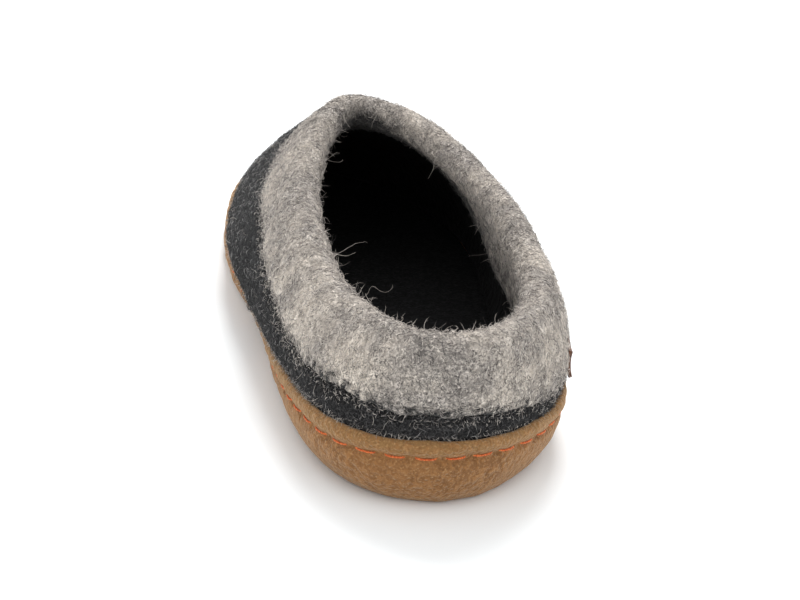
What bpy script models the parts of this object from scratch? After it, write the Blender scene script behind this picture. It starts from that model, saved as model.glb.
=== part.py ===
"""Felt house slipper for the right foot: felt upper, folded felt collar, suede cup sole, footbed and tab.

Metres. +Y points to the toe, +X to the outer side of the foot, +Z up.
The last is a row of stations round the feather line. At each station one curve climbs from the
feather line to the rim of the opening, and every piece is a skin laid on or under those curves.
"""
import math

import bmesh
import bpy
import numpy as np

# Stations round the feather line, starting at the middle of the heel, then the outer side, toe and inner side.
# x, y: place on the feather line. rim: where the curve ends on the rim, in degrees round it.
# flare, low: how far out and how high (share of the rim's height) the curve's lower handle is.
# lean, high: how far in and how high the upper handle is.
# collar: how deep the collar reaches below the rim there, measured down the wall.
STATION_COLUMNS = ("name", "x", "y", "rim", "flare", "low", "lean", "high", "collar")
STATIONS = (
    ("heel", 0.0000, 0.0000, 0, 0.0035, 0.40, -0.0008, 0.92, 0.0192),
    ("heel corner outer", 0.0270, 0.0185, 36, 0.0082, 0.39, -0.0010, 0.94, 0.0238),
    ("heel side outer", 0.0385, 0.0413, 61, 0.0097, 0.44, -0.0011, 0.94, 0.0285),
    ("waist outer", 0.0410, 0.0989, 106, 0.0095, 0.50, 0.0027, 0.93, 0.0270),
    ("ball outer", 0.0495, 0.1649, 146, 0.0061, 0.42, 0.0160, 0.87, 0.0228),
    ("toe side outer", 0.0420, 0.2220, 165, 0.0060, 0.48, 0.0359, 0.80, 0.0220),
    ("toe corner outer", 0.0180, 0.2570, 174, 0.0065, 0.56, 0.0490, 0.72, 0.0215),
    ("toe", -0.0090, 0.2670, 180, 0.0065, 0.58, 0.0540, 0.70, 0.0214),
    ("toe corner inner", -0.0326, 0.2495, 187, 0.0050, 0.42, 0.0520, 0.66, 0.0215),
    ("toe side inner", -0.0451, 0.2124, 196, 0.0047, 0.36, 0.0370, 0.76, 0.0216),
    ("ball inner", -0.0480, 0.1666, 213, 0.0092, 0.33, 0.0198, 0.88, 0.0220),
    ("waist inner", -0.0406, 0.1065, 251, 0.0153, 0.48, 0.0028, 1.00, 0.0228),
    ("heel side inner", -0.0364, 0.0411, 299, 0.0095, 0.45, 0.0005, 0.94, 0.0216),
    ("heel corner inner", -0.0216, 0.0061, 327, 0.0075, 0.37, -0.0004, 0.84, 0.0201),
)

FEATHER_LENGTH = 0.2672

# Rim of the opening, where the wall stops and the rolled edge starts.
RIM_BACK = 0.0025
RIM_FRONT = 0.1635
RIM_MIDDLE = -0.0008
RIM_HALF_WIDTH = 0.0354
RIM_TURN_IN = -0.0057
RIM_BOW_OUT = 0.0084
RIM_HEEL_HEIGHT = 0.0466
RIM_THROAT_HEIGHT = 0.0724
RIM_RISE_POWER = 1.36
RIM_SAG = 0.0075
RIM_TILT = 0.0015
LEAN_REACH = 0.0600
SLIDE_SHARE = 0.85

# Felt of the upper and of the collar. A face is a distance out from the last's curves.
GAP = 0.0003
FELT_WALL = 0.0048
UPPER_FACE = -0.0003
LIP_TUCK = 0.0007
LIP_THICKNESS = 0.0006
UPPER_TOP_RADIUS = 0.0023
COLLAR_FACE = 0.0004
COLLAR_PLY = 0.0024
ROLL_RADIUS = 0.0050
ROLL_CENTRE = COLLAR_FACE - ROLL_RADIUS
COLLAR_INNER_FACE = ROLL_CENTRE - ROLL_RADIUS
COLLAR_EDGE = 0.0030
COLLAR_BEVEL = 0.0010
BAND_SETTLE = 0.0025
BAND_ROWS = 8

# Suede cup sole. Its top edge has one height at the heel, one at the waist and one at the toe.
SOLE_TOP_HEEL = 0.0209
SOLE_TOP_WAIST = 0.0126
SOLE_TOP_TOE = 0.0180
WAIST_SHARE = 0.40
SOLE_FACE = 0.0009
SUEDE = 0.0022
GROOVE_DROP = 0.0051
GROOVE_DEPTH = 0.0008
# Profile of its side. height: from the top edge down, or as a share of what is left under the groove.
# proud: how far the point stands out from the sole's face.
SOLE_TOP_COLUMNS = ("height", "proud")
SOLE_TOP_PROFILE = (
    (-0.0010, -0.0022),
    (-0.0002, -0.0017),
    (0.0000, -0.0009),
    (-0.0006, -0.0001),
    (-0.0021, 0.0003),
    (-0.0037, 0.0000),
    (-GROOVE_DROP, -GROOVE_DEPTH),
)
SOLE_LOW_COLUMNS = ("share", "proud")
SOLE_LOW_PROFILE = (
    (1.00, 0.0000),
    (0.62, 0.0003),
    (0.30, -0.0005),
    (0.09, -0.0020),
    (0.00, -0.0034),
)
UNDER_GROOVE = 0.0016
SOLE_FLOOR = 0.0050
ARCH_INNER = 0.0024
ARCH_OUTER = 0.0006
ARCH_START = 0.072
ARCH_END = 0.150
SOLE_WIDTH = 0.080
SPRING_START = 0.205
TOE_SPRING = 0.0045

# Footbed, a little dished across.
FOOTBED_EDGE = 0.0046
FOOTBED_MIDDLE = 0.0034
FOOTBED_ROUND = 0.0012
FOOTBED_HALF_WIDTH = 0.035

# Plain leather tab on the outer side of the collar.
TAB_START = 0.090
TAB_END = 0.130
TAB_TOP = 0.0190
TAB_BOTTOM = 0.0270
TAB_THICKNESS = 0.0012
TAB_CURL = 0.0010
TAB_POINTS_ALONG = 9
TAB_POINTS_UP = 5

COLUMNS = 60
CURVE_STEPS = 80
ACROSS = 4

FELT_GREY = (0.33, 0.31, 0.29, 1.0)
FELT_CHARCOAL = (0.05, 0.05, 0.052, 1.0)
SUEDE_TAN = (0.30, 0.15, 0.06, 1.0)
FOOTBED_GREY = (0.04, 0.04, 0.042, 1.0)
LEATHER_BROWN = (0.12, 0.05, 0.025, 1.0)


def closed_spline(knots, rows, places):
    """Smooth closed curve through the rows, whose last one repeats the first, read at the given places."""
    steps = np.diff(knots)
    count = len(steps)
    values = rows[:count]
    following = np.roll(values, -1, axis=0)
    slopes = (following - values) / steps[:, None]
    matrix = np.zeros((count, count))
    right = np.zeros_like(values)
    for i in range(count):
        matrix[i, i - 1] += steps[i - 1]
        matrix[i, i] += 2 * (steps[i - 1] + steps[i])
        matrix[i, (i + 1) % count] += steps[i]
        right[i] = 6 * (slopes[i] - slopes[i - 1])
    bends = np.linalg.solve(matrix, right)
    next_bends = np.roll(bends, -1, axis=0)
    places = np.asarray(places) % 1.0
    i = np.clip(np.searchsorted(knots, places, side="right") - 1, 0, count - 1)
    step = steps[i][:, None]
    before = (places - knots[i])[:, None]
    after = step - before
    curved = (bends[i] * after**3 + next_bends[i] * before**3) / (6 * step)
    straight = (values[i] / step - bends[i] * step / 6) * after
    return curved + straight + (following[i] / step - next_bends[i] * step / 6) * before


def stations_at(round_share):
    """Station values at shares of the way round the feather line, 0 at the heel and rising outwards."""
    table = np.array([row[1:] for row in STATIONS])
    table = np.vstack([table, table[:1]])
    rim = STATION_COLUMNS.index("rim") - 1
    table[-1, rim] += 360.0
    walked = np.cumsum(np.hypot(*np.diff(table[:, :2], axis=0).T))
    knots = np.concatenate([[0.0], walked / walked[-1]])
    table[:, rim] -= 360.0 * knots
    found = closed_spline(knots, table, round_share)
    found[:, rim] += 360.0 * (np.asarray(round_share) % 1.0)
    return found


def column(found, name):
    return found[:, STATION_COLUMNS.index(name) - 1]


def rim_at(degrees):
    """Points on the rim of the opening: 0 at the heel, 90 at the outer side, 180 at the throat."""
    angle = np.radians(degrees)
    forward = (1 - np.cos(angle)) / 2
    x = RIM_MIDDLE + RIM_HALF_WIDTH * np.sin(angle) + RIM_TURN_IN * forward
    x = x + 4 * RIM_BOW_OUT * forward * (1 - forward)
    y = RIM_BACK + (RIM_FRONT - RIM_BACK) * forward
    rise = (RIM_THROAT_HEIGHT - RIM_HEEL_HEIGHT) * forward**RIM_RISE_POWER
    z = RIM_HEEL_HEIGHT + rise - RIM_SAG * np.sin(np.pi * forward) + RIM_TILT * np.sin(angle)
    return np.stack([x, y, z], axis=-1)


def unit(vectors):
    return vectors / np.linalg.norm(vectors, axis=-1, keepdims=True)


def curve_handles(round_share):
    """The four control points of the wall curve at each share of the way round."""
    found = stations_at(round_share)
    foot = found[:, :2]
    flare, low, lean, high = (column(found, name)[:, None] for name in ("flare", "low", "lean", "high"))
    top = rim_at(column(found, "rim"))
    nudge = 0.001
    along = stations_at(round_share + nudge)[:, :2] - stations_at(round_share - nudge)[:, :2]
    out = unit(np.stack([along[:, 1], -along[:, 0]], axis=-1))
    inward = top[:, :2] - foot
    reach = np.maximum(np.linalg.norm(inward, axis=1, keepdims=True), 1e-9)
    to_rim = np.clip(reach / LEAN_REACH, 0, 1)
    towards = -out * (1 - to_rim) + inward / reach * to_rim
    sideways = inward - out * np.sum(inward * out, axis=1, keepdims=True)
    slide = sideways * (1 - to_rim) * SLIDE_SHARE
    height = top[:, 2:]
    return (
        np.hstack([foot, 0 * height]),
        np.hstack([foot + out * flare, low * height]),
        np.hstack([foot + towards * lean + slide, high * height]),
        top,
    )


def wall_at(round_share, climb):
    """Points of the wall: climb is 0 at the feather line and 1 at the rim."""
    a, b, c, d = curve_handles(round_share)
    t = np.asarray(climb)[:, None]
    return (1 - t)**3 * a + 3 * (1 - t)**2 * t * b + 3 * (1 - t) * t**2 * c + t**3 * d


class Last:
    """The wall's columns, with rings read from them by height, by depth below the rim or round the roll."""

    def __init__(self, shares):
        self.shares = np.asarray(shares, dtype=float)
        self.steps = np.linspace(0, 1, CURVE_STEPS + 1)
        curves = np.stack([wall_at(self.shares, np.full(len(self.shares), t)) for t in self.steps], axis=1)
        lengths = np.linalg.norm(np.diff(curves, axis=1), axis=2)
        below_rim = np.cumsum(lengths[:, ::-1], axis=1)[:, ::-1]
        self.depths = np.hstack([below_rim, np.zeros((len(self.shares), 1))])
        self.heights = curves[:, :, 2]
        self.foot = curves[:, 0]
        self.collar_depth = column(stations_at(self.shares), "collar")
        nudge = 0.001
        along = wall_at(self.shares + nudge, 0 * self.shares) - wall_at(self.shares - nudge, 0 * self.shares)
        self.out = unit(np.stack([along[:, 1], -along[:, 0], 0 * along[:, 0]], axis=-1))
        forward = self.foot[:, 1] / FEATHER_LENGTH
        to_waist = np.clip(forward / WAIST_SHARE, 0, 1)
        to_toe = np.clip((forward - WAIST_SHARE) / (1 - WAIST_SHARE), 0, 1)
        self.sole_top = SOLE_TOP_HEEL + (SOLE_TOP_WAIST - SOLE_TOP_HEEL) * to_waist
        self.sole_top = self.sole_top + (SOLE_TOP_TOE - SOLE_TOP_WAIST) * to_toe
        self.sole_depth = self.read(self.heights, self.sole_top, self.depths)

    def read(self, keys, wanted, values):
        """For each column, the value where its key has the wanted size."""
        found = np.empty(len(self.shares))
        for i in range(len(self.shares)):
            order = np.argsort(keys[i])
            row = values[i] if values.ndim == 2 else values
            found[i] = np.interp(wanted[i], keys[i][order], row[order])
        return found

    def facing(self, climb):
        """Outward normals of the wall, and its upward tangents square to its rows."""
        step = 0.05
        nudge = 0.005
        low, high = np.clip(climb - step, 0, 1), np.clip(climb + step, 0, 1)
        up = wall_at(self.shares, high) - wall_at(self.shares, low)
        along = wall_at(self.shares + nudge, climb) - wall_at(self.shares - nudge, climb)
        normal = unit(np.cross(along, up))
        return normal, unit(np.cross(normal, along))

    def deep(self, depth, offset):
        """Ring at a depth below the rim along the wall, standing off the wall by offset."""
        climb = self.read(self.depths, depth + 0 * self.shares, self.steps)
        normal, _ = self.facing(climb)
        return wall_at(self.shares, climb) + normal * offset

    def level(self, height, offset):
        """Ring at one height for each column, standing off the wall by offset."""
        height = height + 0 * self.shares
        ring = wall_at(self.shares, self.read(self.heights, height, self.steps)) + self.out * offset
        ring[:, 2] = height
        return ring

    def roll(self, degrees, radius):
        """Ring round the rolled top edge: 0 is its outer side, 90 its crest, 180 its inner side."""
        climb = np.ones(len(self.shares))
        normal, up = self.facing(climb)
        centre = wall_at(self.shares, climb) + normal * ROLL_CENTRE
        angle = math.radians(degrees)
        return centre + radius * (normal * math.cos(angle) + up * math.sin(angle))


LAST = Last(np.arange(COLUMNS) / COLUMNS)


def sprung(points):
    """Lifts the toe off the floor."""
    lifted = np.array(points, dtype=float)
    share = np.clip((lifted[:, 1] - SPRING_START) / (FEATHER_LENGTH - SPRING_START), 0, None)
    lifted[:, 2] += TOE_SPRING * share**2
    return lifted


def arch(points):
    """How far the underside is hollowed above the floor at each point."""
    share = np.clip((points[:, 1] - ARCH_START) / (ARCH_END - ARCH_START), 0, 1)
    inner = np.clip(0.5 - points[:, 0] / SOLE_WIDTH, 0, 1)
    return (ARCH_OUTER + (ARCH_INNER - ARCH_OUTER) * inner) * np.sin(math.pi * share)**2


def cross_rows(ring, height):
    """Rows of points from the outer to the inner side of a ring, at heights that height() gives."""
    rows = []
    for i in range(1, COLUMNS // 2):
        outer, inner = ring[i], ring[COLUMNS - i]
        shares = np.arange(1, ACROSS)[:, None] / ACROSS
        row = outer * (1 - shares) + inner * shares
        row[:, 2] = height(row)
        rows.append(row)
    return rows


def skin(rings, first_cap=None, last_cap=None):
    """A mesh through closed rings, its ends closed on each other or by caps made of cross rows.

    Every quad is cut on the diagonal that climbs with the columns, so two skins on the same rows stay parallel.
    """
    mesh = bmesh.new()
    loops = [[mesh.verts.new(point) for point in ring] for ring in rings]
    ring_pairs = list(zip(loops, loops[1:]))
    if first_cap is None:
        ring_pairs.append((loops[-1], loops[0]))
    for one, other in ring_pairs:
        low, high = sorted((one, other), key=lambda loop: sum(v.co.z for v in loop))
        for i in range(COLUMNS):
            j = (i + 1) % COLUMNS
            mesh.faces.new((low[i], low[j], high[j]))
            mesh.faces.new((low[i], high[j], high[i]))
    for loop, rows in ((loops[0], first_cap), (loops[-1], last_cap)):
        if rows is None:
            continue
        lines = [[loop[i + 1]] + [mesh.verts.new(p) for p in row] + [loop[COLUMNS - i - 1]]
                 for i, row in enumerate(rows)]
        for near, far in zip(lines, lines[1:]):
            for k in range(ACROSS):
                mesh.faces.new((near[k], near[k + 1], far[k + 1], far[k]))
        for end, line in ((loop[0], lines[0]), (loop[COLUMNS // 2], lines[-1])):
            for k in range(ACROSS):
                mesh.faces.new((end, line[k], line[k + 1]))
    bmesh.ops.recalc_face_normals(mesh, faces=mesh.faces)
    return mesh


def collar_rows(depth):
    """Depths below the rim of the rows that collar and upper share, from the rim to the collar's edge."""
    straight = depth - COLLAR_EDGE
    return [straight * share for share in (0.0, 0.33, 0.67, 1.0)]


def upper_rings():
    """Felt wall: up its outer side, over its top edge inside the collar, and down its inner side."""
    depth = LAST.collar_depth
    band = LAST.sole_depth - depth
    settle = np.minimum(BAND_SETTLE, band / 3)
    free = band - 2 * settle
    outside_sole = -SUEDE + SOLE_FACE - GAP
    levels = [SOLE_FLOOR + GAP, (SOLE_FLOOR + LAST.sole_top) / 2, LAST.sole_top + SOLE_TOP_PROFILE[0][0]]
    outside, inside = [], []
    for height in levels:
        outside.append(LAST.level(height, outside_sole))
        inside.append(LAST.level(height, outside_sole - FELT_WALL))
    for share in np.linspace(1, 0, BAND_ROWS):
        along = depth + settle + free * share
        outside.append(LAST.deep(along, UPPER_FACE))
        inside.append(LAST.deep(along, UPPER_FACE - FELT_WALL))
    outside.append(LAST.deep(depth, UPPER_FACE - LIP_TUCK))
    inside.append(LAST.deep(depth, UPPER_FACE - LIP_TUCK - FELT_WALL))
    for along in reversed(collar_rows(depth)):
        outside.append(LAST.deep(along, ROLL_CENTRE + UPPER_TOP_RADIUS))
        inside.append(LAST.deep(along, ROLL_CENTRE - UPPER_TOP_RADIUS))
    top = [LAST.roll(degrees, UPPER_TOP_RADIUS) for degrees in (45, 90, 135)]
    return outside + top + inside[::-1]


def collar_rings():
    """Folded felt band: up its outer face, over the roll, down its inner face, and back against the upper."""
    depth = LAST.collar_depth
    rows = collar_rows(depth)
    lip_under = UPPER_FACE - LIP_TUCK + GAP
    lip_inside = UPPER_FACE - LIP_TUCK - FELT_WALL - GAP
    round_off = COLLAR_BEVEL / 3
    outer = [LAST.deep(depth, lip_under + LIP_THICKNESS)]
    outer += [LAST.deep(depth - COLLAR_BEVEL, COLLAR_FACE - round_off)]
    outer += [LAST.deep(along, COLLAR_FACE) for along in reversed(rows)]
    crest = [LAST.roll(degrees, ROLL_RADIUS) for degrees in (30, 60, 90, 120, 150)]
    inner = [LAST.deep(along, COLLAR_INNER_FACE) for along in rows]
    inner += [LAST.deep(depth - COLLAR_BEVEL, COLLAR_INNER_FACE + COLLAR_BEVEL)]
    inner += [LAST.deep(depth, lip_inside - 2 * LIP_THICKNESS)]
    hidden = ROLL_RADIUS - COLLAR_PLY
    back_up = [LAST.deep(depth, lip_inside)]
    back_up += [LAST.deep(along, ROLL_CENTRE - hidden) for along in reversed(rows)]
    over = [LAST.roll(degrees, hidden) for degrees in (135, 90, 45)]
    back_down = [LAST.deep(along, ROLL_CENTRE + hidden) for along in rows]
    back_down += [LAST.deep(depth, lip_under)]
    return outer + crest + inner + back_up + over + back_down


def sole_rings():
    """Suede cup: up its inner side, over the rolled top, down past the stitch groove and round the edge."""
    top = LAST.sole_top
    left = top - GROOVE_DROP - UNDER_GROOVE
    inside = SOLE_FACE - SUEDE
    rings = [LAST.level(SOLE_FLOOR, inside), LAST.level((SOLE_FLOOR + top) / 2, inside)]
    rings += [LAST.level(top + height, SOLE_FACE + proud) for height, proud in SOLE_TOP_PROFILE]
    rings += [LAST.level(left * share, SOLE_FACE + proud) for share, proud in SOLE_LOW_PROFILE]
    return rings


def sole_mesh():
    rings = sole_rings()
    floor = cross_rows(rings[0], lambda row: np.full(len(row), SOLE_FLOOR))
    for ring in rings[-len(SOLE_LOW_PROFILE) + 1:]:
        ring[:, 2] += arch(ring)
    underside = cross_rows(rings[-1], arch)
    floor = [sprung(row) for row in floor]
    underside = [sprung(row) for row in underside]
    return skin([sprung(ring) for ring in rings], floor, underside)


def footbed_mesh():
    wall = SOLE_FACE - SUEDE - GAP - FELT_WALL - GAP
    base = SOLE_FLOOR + GAP
    rings = [
        LAST.level(base, wall),
        LAST.level(base + FOOTBED_EDGE - FOOTBED_ROUND, wall),
        LAST.level(base + FOOTBED_EDGE, wall - FOOTBED_ROUND),
    ]

    def top_height(row):
        share = np.clip(np.abs(row[:, 0]) / FOOTBED_HALF_WIDTH, 0, 1)
        return base + FOOTBED_MIDDLE + (FOOTBED_EDGE - FOOTBED_MIDDLE) * share**2

    bottom = cross_rows(rings[0], lambda row: np.full(len(row), base))
    top = cross_rows(rings[-1], top_height)
    return skin([sprung(ring) for ring in rings], [sprung(r) for r in bottom], [sprung(r) for r in top])


def tab_mesh():
    """Small leather rectangle that lies on the collar, its corners a little curled away."""
    along, up = TAB_POINTS_ALONG, TAB_POINTS_UP
    columns = Last(np.linspace(TAB_START, TAB_END, along))
    from_middle = np.abs(np.linspace(-1, 1, along))
    mesh = bmesh.new()

    def sheet(lift):
        rows = []
        for high in np.linspace(0, 1, up):
            curl = TAB_CURL * from_middle**6 * (2 * high - 1)**2
            points = columns.deep(TAB_BOTTOM + (TAB_TOP - TAB_BOTTOM) * high, lift + curl[:, None])
            rows.append([mesh.verts.new(point) for point in points])
        for low_row, high_row in zip(rows, rows[1:]):
            for i in range(along - 1):
                mesh.faces.new((low_row[i], low_row[i + 1], high_row[i + 1], high_row[i]))
        right = [row[-1] for row in rows[1:]]
        left = [row[0] for row in rows[1:-1]]
        return rows[0] + right + rows[-1][-2::-1] + left[::-1]

    under = sheet(COLLAR_FACE + GAP)
    over = sheet(COLLAR_FACE + GAP + TAB_THICKNESS)
    for i in range(len(under)):
        mesh.faces.new((under[i - 1], under[i], over[i], over[i - 1]))
    bmesh.ops.recalc_face_normals(mesh, faces=mesh.faces)
    return mesh


def finish(name, colour, roughness):
    material = bpy.data.materials.new(name)
    material.use_nodes = True
    shader = material.node_tree.nodes["Principled BSDF"]
    shader.inputs["Base Color"].default_value = colour
    shader.inputs["Roughness"].default_value = roughness
    shader.inputs["Metallic"].default_value = 0.0
    return material


def place(name, mesh, colour, roughness):
    data = bpy.data.meshes.new(name)
    mesh.to_mesh(data)
    mesh.free()
    data.materials.append(finish(name, colour, roughness))
    data.shade_smooth()
    piece = bpy.data.objects.new(name, data)
    bpy.context.scene.collection.objects.link(piece)
    return piece


def centre_on_floor(pieces):
    """Moves the pieces together so that the middle of their box stands over the origin."""
    points = np.array([v.co for piece in pieces for v in piece.data.vertices])
    middle = (points.min(axis=0) + points.max(axis=0)) / 2
    for piece in pieces:
        for vertex in piece.data.vertices:
            vertex.co.x -= middle[0]
            vertex.co.y -= middle[1]


def build():
    for thing in list(bpy.data.objects):
        bpy.data.objects.remove(thing)
    pieces = [
        place("upper", skin([sprung(ring) for ring in upper_rings()]), FELT_CHARCOAL, 0.95),
        place("collar", skin([sprung(ring) for ring in collar_rings()]), FELT_GREY, 0.95),
        place("sole", sole_mesh(), SUEDE_TAN, 0.9),
        place("insole", footbed_mesh(), FOOTBED_GREY, 0.95),
        place("side_tab", tab_mesh(), LEATHER_BROWN, 0.6),
    ]
    centre_on_floor(pieces)


build()
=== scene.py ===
"""Felt house slipper for the right foot: cup sole, footbed, felt upper, rolled collar, seam, tab and hairs.

Metres. +Y points to the toe, +X to the outer side of the foot, +Z up. The pieces are made in the order in
which they are put together. Each is a skin laid on the curves of one last, at the frame's own sizes.
"""
import math

import bmesh
import bpy
import numpy as np
from mathutils import Matrix, Vector, noise


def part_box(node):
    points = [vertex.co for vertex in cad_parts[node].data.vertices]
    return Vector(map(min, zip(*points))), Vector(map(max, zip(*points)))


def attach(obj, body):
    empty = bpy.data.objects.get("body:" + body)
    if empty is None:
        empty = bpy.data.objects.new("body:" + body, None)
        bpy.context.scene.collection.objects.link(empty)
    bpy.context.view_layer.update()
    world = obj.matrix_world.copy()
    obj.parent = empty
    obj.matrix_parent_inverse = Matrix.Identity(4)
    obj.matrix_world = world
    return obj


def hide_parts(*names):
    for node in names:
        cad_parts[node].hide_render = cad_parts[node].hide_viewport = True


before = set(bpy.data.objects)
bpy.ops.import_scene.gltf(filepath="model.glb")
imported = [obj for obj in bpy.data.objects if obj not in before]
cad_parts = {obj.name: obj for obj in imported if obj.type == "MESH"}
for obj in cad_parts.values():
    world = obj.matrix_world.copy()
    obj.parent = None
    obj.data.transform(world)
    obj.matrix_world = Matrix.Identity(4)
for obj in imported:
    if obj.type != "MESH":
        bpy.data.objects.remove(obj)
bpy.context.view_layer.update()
BODY = "root"

# Cup sole
# A cup of tan suede about 2 mm thick, moulded over the last with its nap outside. Its top edge is rolled in
# against the felt, a groove under the roll takes the seam, and its side turns under in one soft round edge.

# The last. x, y: place on the feather line. rim: where the wall curve ends, in degrees round the opening.
# flare, low, lean, high: the curve's two handles. collar: how deep the collar reaches below the rim there.
STATION_COLUMNS = ("name", "x", "y", "rim", "flare", "low", "lean", "high", "collar")
STATIONS = (
    ("heel", 0.0000, 0.0000, 0, 0.0035, 0.40, -0.0008, 0.92, 0.0192),
    ("heel corner outer", 0.0270, 0.0185, 36, 0.0082, 0.39, -0.0010, 0.94, 0.0238),
    ("heel side outer", 0.0385, 0.0413, 61, 0.0097, 0.44, -0.0011, 0.94, 0.0285),
    ("waist outer", 0.0410, 0.0989, 106, 0.0095, 0.50, 0.0027, 0.93, 0.0270),
    ("ball outer", 0.0495, 0.1649, 146, 0.0061, 0.42, 0.0160, 0.87, 0.0228),
    ("toe side outer", 0.0420, 0.2220, 165, 0.0060, 0.48, 0.0359, 0.80, 0.0220),
    ("toe corner outer", 0.0180, 0.2570, 174, 0.0065, 0.56, 0.0490, 0.72, 0.0215),
    ("toe", -0.0090, 0.2670, 180, 0.0065, 0.58, 0.0540, 0.70, 0.0214),
    ("toe corner inner", -0.0326, 0.2495, 187, 0.0050, 0.42, 0.0520, 0.66, 0.0215),
    ("toe side inner", -0.0451, 0.2124, 196, 0.0047, 0.36, 0.0370, 0.76, 0.0216),
    ("ball inner", -0.0480, 0.1666, 213, 0.0092, 0.33, 0.0198, 0.88, 0.0220),
    ("waist inner", -0.0406, 0.1065, 251, 0.0153, 0.48, 0.0028, 1.00, 0.0228),
    ("heel side inner", -0.0364, 0.0411, 299, 0.0095, 0.45, 0.0005, 0.94, 0.0216),
    ("heel corner inner", -0.0216, 0.0061, 327, 0.0075, 0.37, -0.0004, 0.84, 0.0201),
)
FEATHER_LENGTH = 0.2672
RIM_BACK = 0.0025
RIM_FRONT = 0.1635
RIM_MIDDLE = -0.0008
RIM_HALF_WIDTH = 0.0354
RIM_TURN_IN = -0.0057
RIM_BOW_OUT = 0.0084
RIM_HEEL_HEIGHT = 0.0466
RIM_THROAT_HEIGHT = 0.0724
RIM_RISE_POWER = 1.36
RIM_SAG = 0.0075
RIM_TILT = 0.0015
LEAN_REACH = 0.0600
SLIDE_SHARE = 0.85
GAP = 0.0003
FELT_WALL = 0.0048
ROLL_RADIUS = 0.0050
COLLAR_FACE = 0.0004
ROLL_CENTRE = COLLAR_FACE - ROLL_RADIUS
CURVE_STEPS = 120
FRAME_COLUMNS = 60

SOLE_COLUMNS = 640
SOLE_TOP_HEEL = 0.0209
SOLE_TOP_WAIST = 0.0126
SOLE_TOP_TOE = 0.0180
WAIST_SHARE = 0.40
SOLE_FACE = 0.0009
SUEDE = 0.0022
GROOVE_DROP = 0.0051
UNDER_GROOVE = 0.0016
# Profile of its side. height: from the top edge down, or as a share of what is left under the groove.
# proud: how far the point stands out from the sole's face.
SOLE_TOP_PROFILE = (
    (-0.0010, -0.0022),
    (-0.0002, -0.0017),
    (0.0000, -0.0009),
    (-0.0006, -0.0001),
    (-0.0021, 0.0003),
    (-0.0037, 0.0000),
    (-GROOVE_DROP, -0.0005),
)
SOLE_LOW_PROFILE = (
    (1.00, 0.0000),
    (0.62, 0.0003),
    (0.30, -0.0005),
    (0.09, -0.0020),
    (0.00, -0.0034),
)
SOLE_FLOOR = 0.0050
ARCH_INNER = 0.0024
ARCH_OUTER = 0.0006
ARCH_START = 0.072
ARCH_END = 0.150
SOLE_WIDTH = 0.080
SPRING_START = 0.205
TOE_SPRING = 0.0045
STITCH_PITCH = 0.0086
STITCH_LENGTH = 0.0072
# The thread pulls the suede in along the groove, more at its holes, and the roll plumps up between them.
GROOVE_PULL = 0.00020
GROOVE_HALF_WIDTH = 0.0011
HOLE_PULL = 0.0006
HOLE_REACH = 0.0012
PLUMP = 0.00025
PLUMP_ABOVE = 0.0028
PLUMP_HALF_WIDTH = 0.0018
SUEDE_WAVES = ((0.00036, 0.012, 3.0), (0.00028, 0.0056, 7.0))
SMOOTH_ABOVE = 0.0005
SMOOTH_FADE = 0.0006
# From the ball to the waist on the inner side the felt bulges over the cup, which is tucked in and lower.
WAIST_TUCK = 0.0020
WAIST_TUCK_SHARE = 0.755
WAIST_TUCK_REACH = 0.105
WAIST_LOWERED = 0.15


def closed_spline(knots, rows, places):
    """Smooth closed curve through the rows, whose last one repeats the first, read at the given places."""
    steps = np.diff(knots)
    count = len(steps)
    values = rows[:count]
    following = np.roll(values, -1, axis=0)
    slopes = (following - values) / steps[:, None]
    matrix = np.zeros((count, count))
    right = np.zeros_like(values)
    for i in range(count):
        matrix[i, i - 1] += steps[i - 1]
        matrix[i, i] += 2 * (steps[i - 1] + steps[i])
        matrix[i, (i + 1) % count] += steps[i]
        right[i] = 6 * (slopes[i] - slopes[i - 1])
    bends = np.linalg.solve(matrix, right)
    next_bends = np.roll(bends, -1, axis=0)
    places = np.asarray(places) % 1.0
    i = np.clip(np.searchsorted(knots, places, side="right") - 1, 0, count - 1)
    step = steps[i][:, None]
    before = (places - knots[i])[:, None]
    after = step - before
    curved = (bends[i] * after**3 + next_bends[i] * before**3) / (6 * step)
    straight = (values[i] / step - bends[i] * step / 6) * after
    return curved + straight + (following[i] / step - next_bends[i] * step / 6) * before


def stations_at(round_share):
    """Station values at shares of the way round the feather line, 0 at the heel and rising outwards."""
    table = np.array([row[1:] for row in STATIONS])
    table = np.vstack([table, table[:1]])
    rim = STATION_COLUMNS.index("rim") - 1
    table[-1, rim] += 360.0
    walked = np.cumsum(np.hypot(*np.diff(table[:, :2], axis=0).T))
    knots = np.concatenate([[0.0], walked / walked[-1]])
    table[:, rim] -= 360.0 * knots
    found = closed_spline(knots, table, round_share)
    found[:, rim] += 360.0 * (np.asarray(round_share) % 1.0)
    return found


def column(found, name):
    return found[:, STATION_COLUMNS.index(name) - 1]


def rim_at(degrees):
    """Points on the rim of the opening: 0 at the heel, 90 at the outer side, 180 at the throat."""
    angle = np.radians(degrees)
    forward = (1 - np.cos(angle)) / 2
    x = RIM_MIDDLE + RIM_HALF_WIDTH * np.sin(angle) + RIM_TURN_IN * forward
    x = x + 4 * RIM_BOW_OUT * forward * (1 - forward)
    y = RIM_BACK + (RIM_FRONT - RIM_BACK) * forward
    rise = (RIM_THROAT_HEIGHT - RIM_HEEL_HEIGHT) * forward**RIM_RISE_POWER
    z = RIM_HEEL_HEIGHT + rise - RIM_SAG * np.sin(np.pi * forward) + RIM_TILT * np.sin(angle)
    return np.stack([x, y, z], axis=-1)


def unit(vectors):
    return vectors / np.maximum(np.linalg.norm(vectors, axis=-1, keepdims=True), 1e-12)


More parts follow.
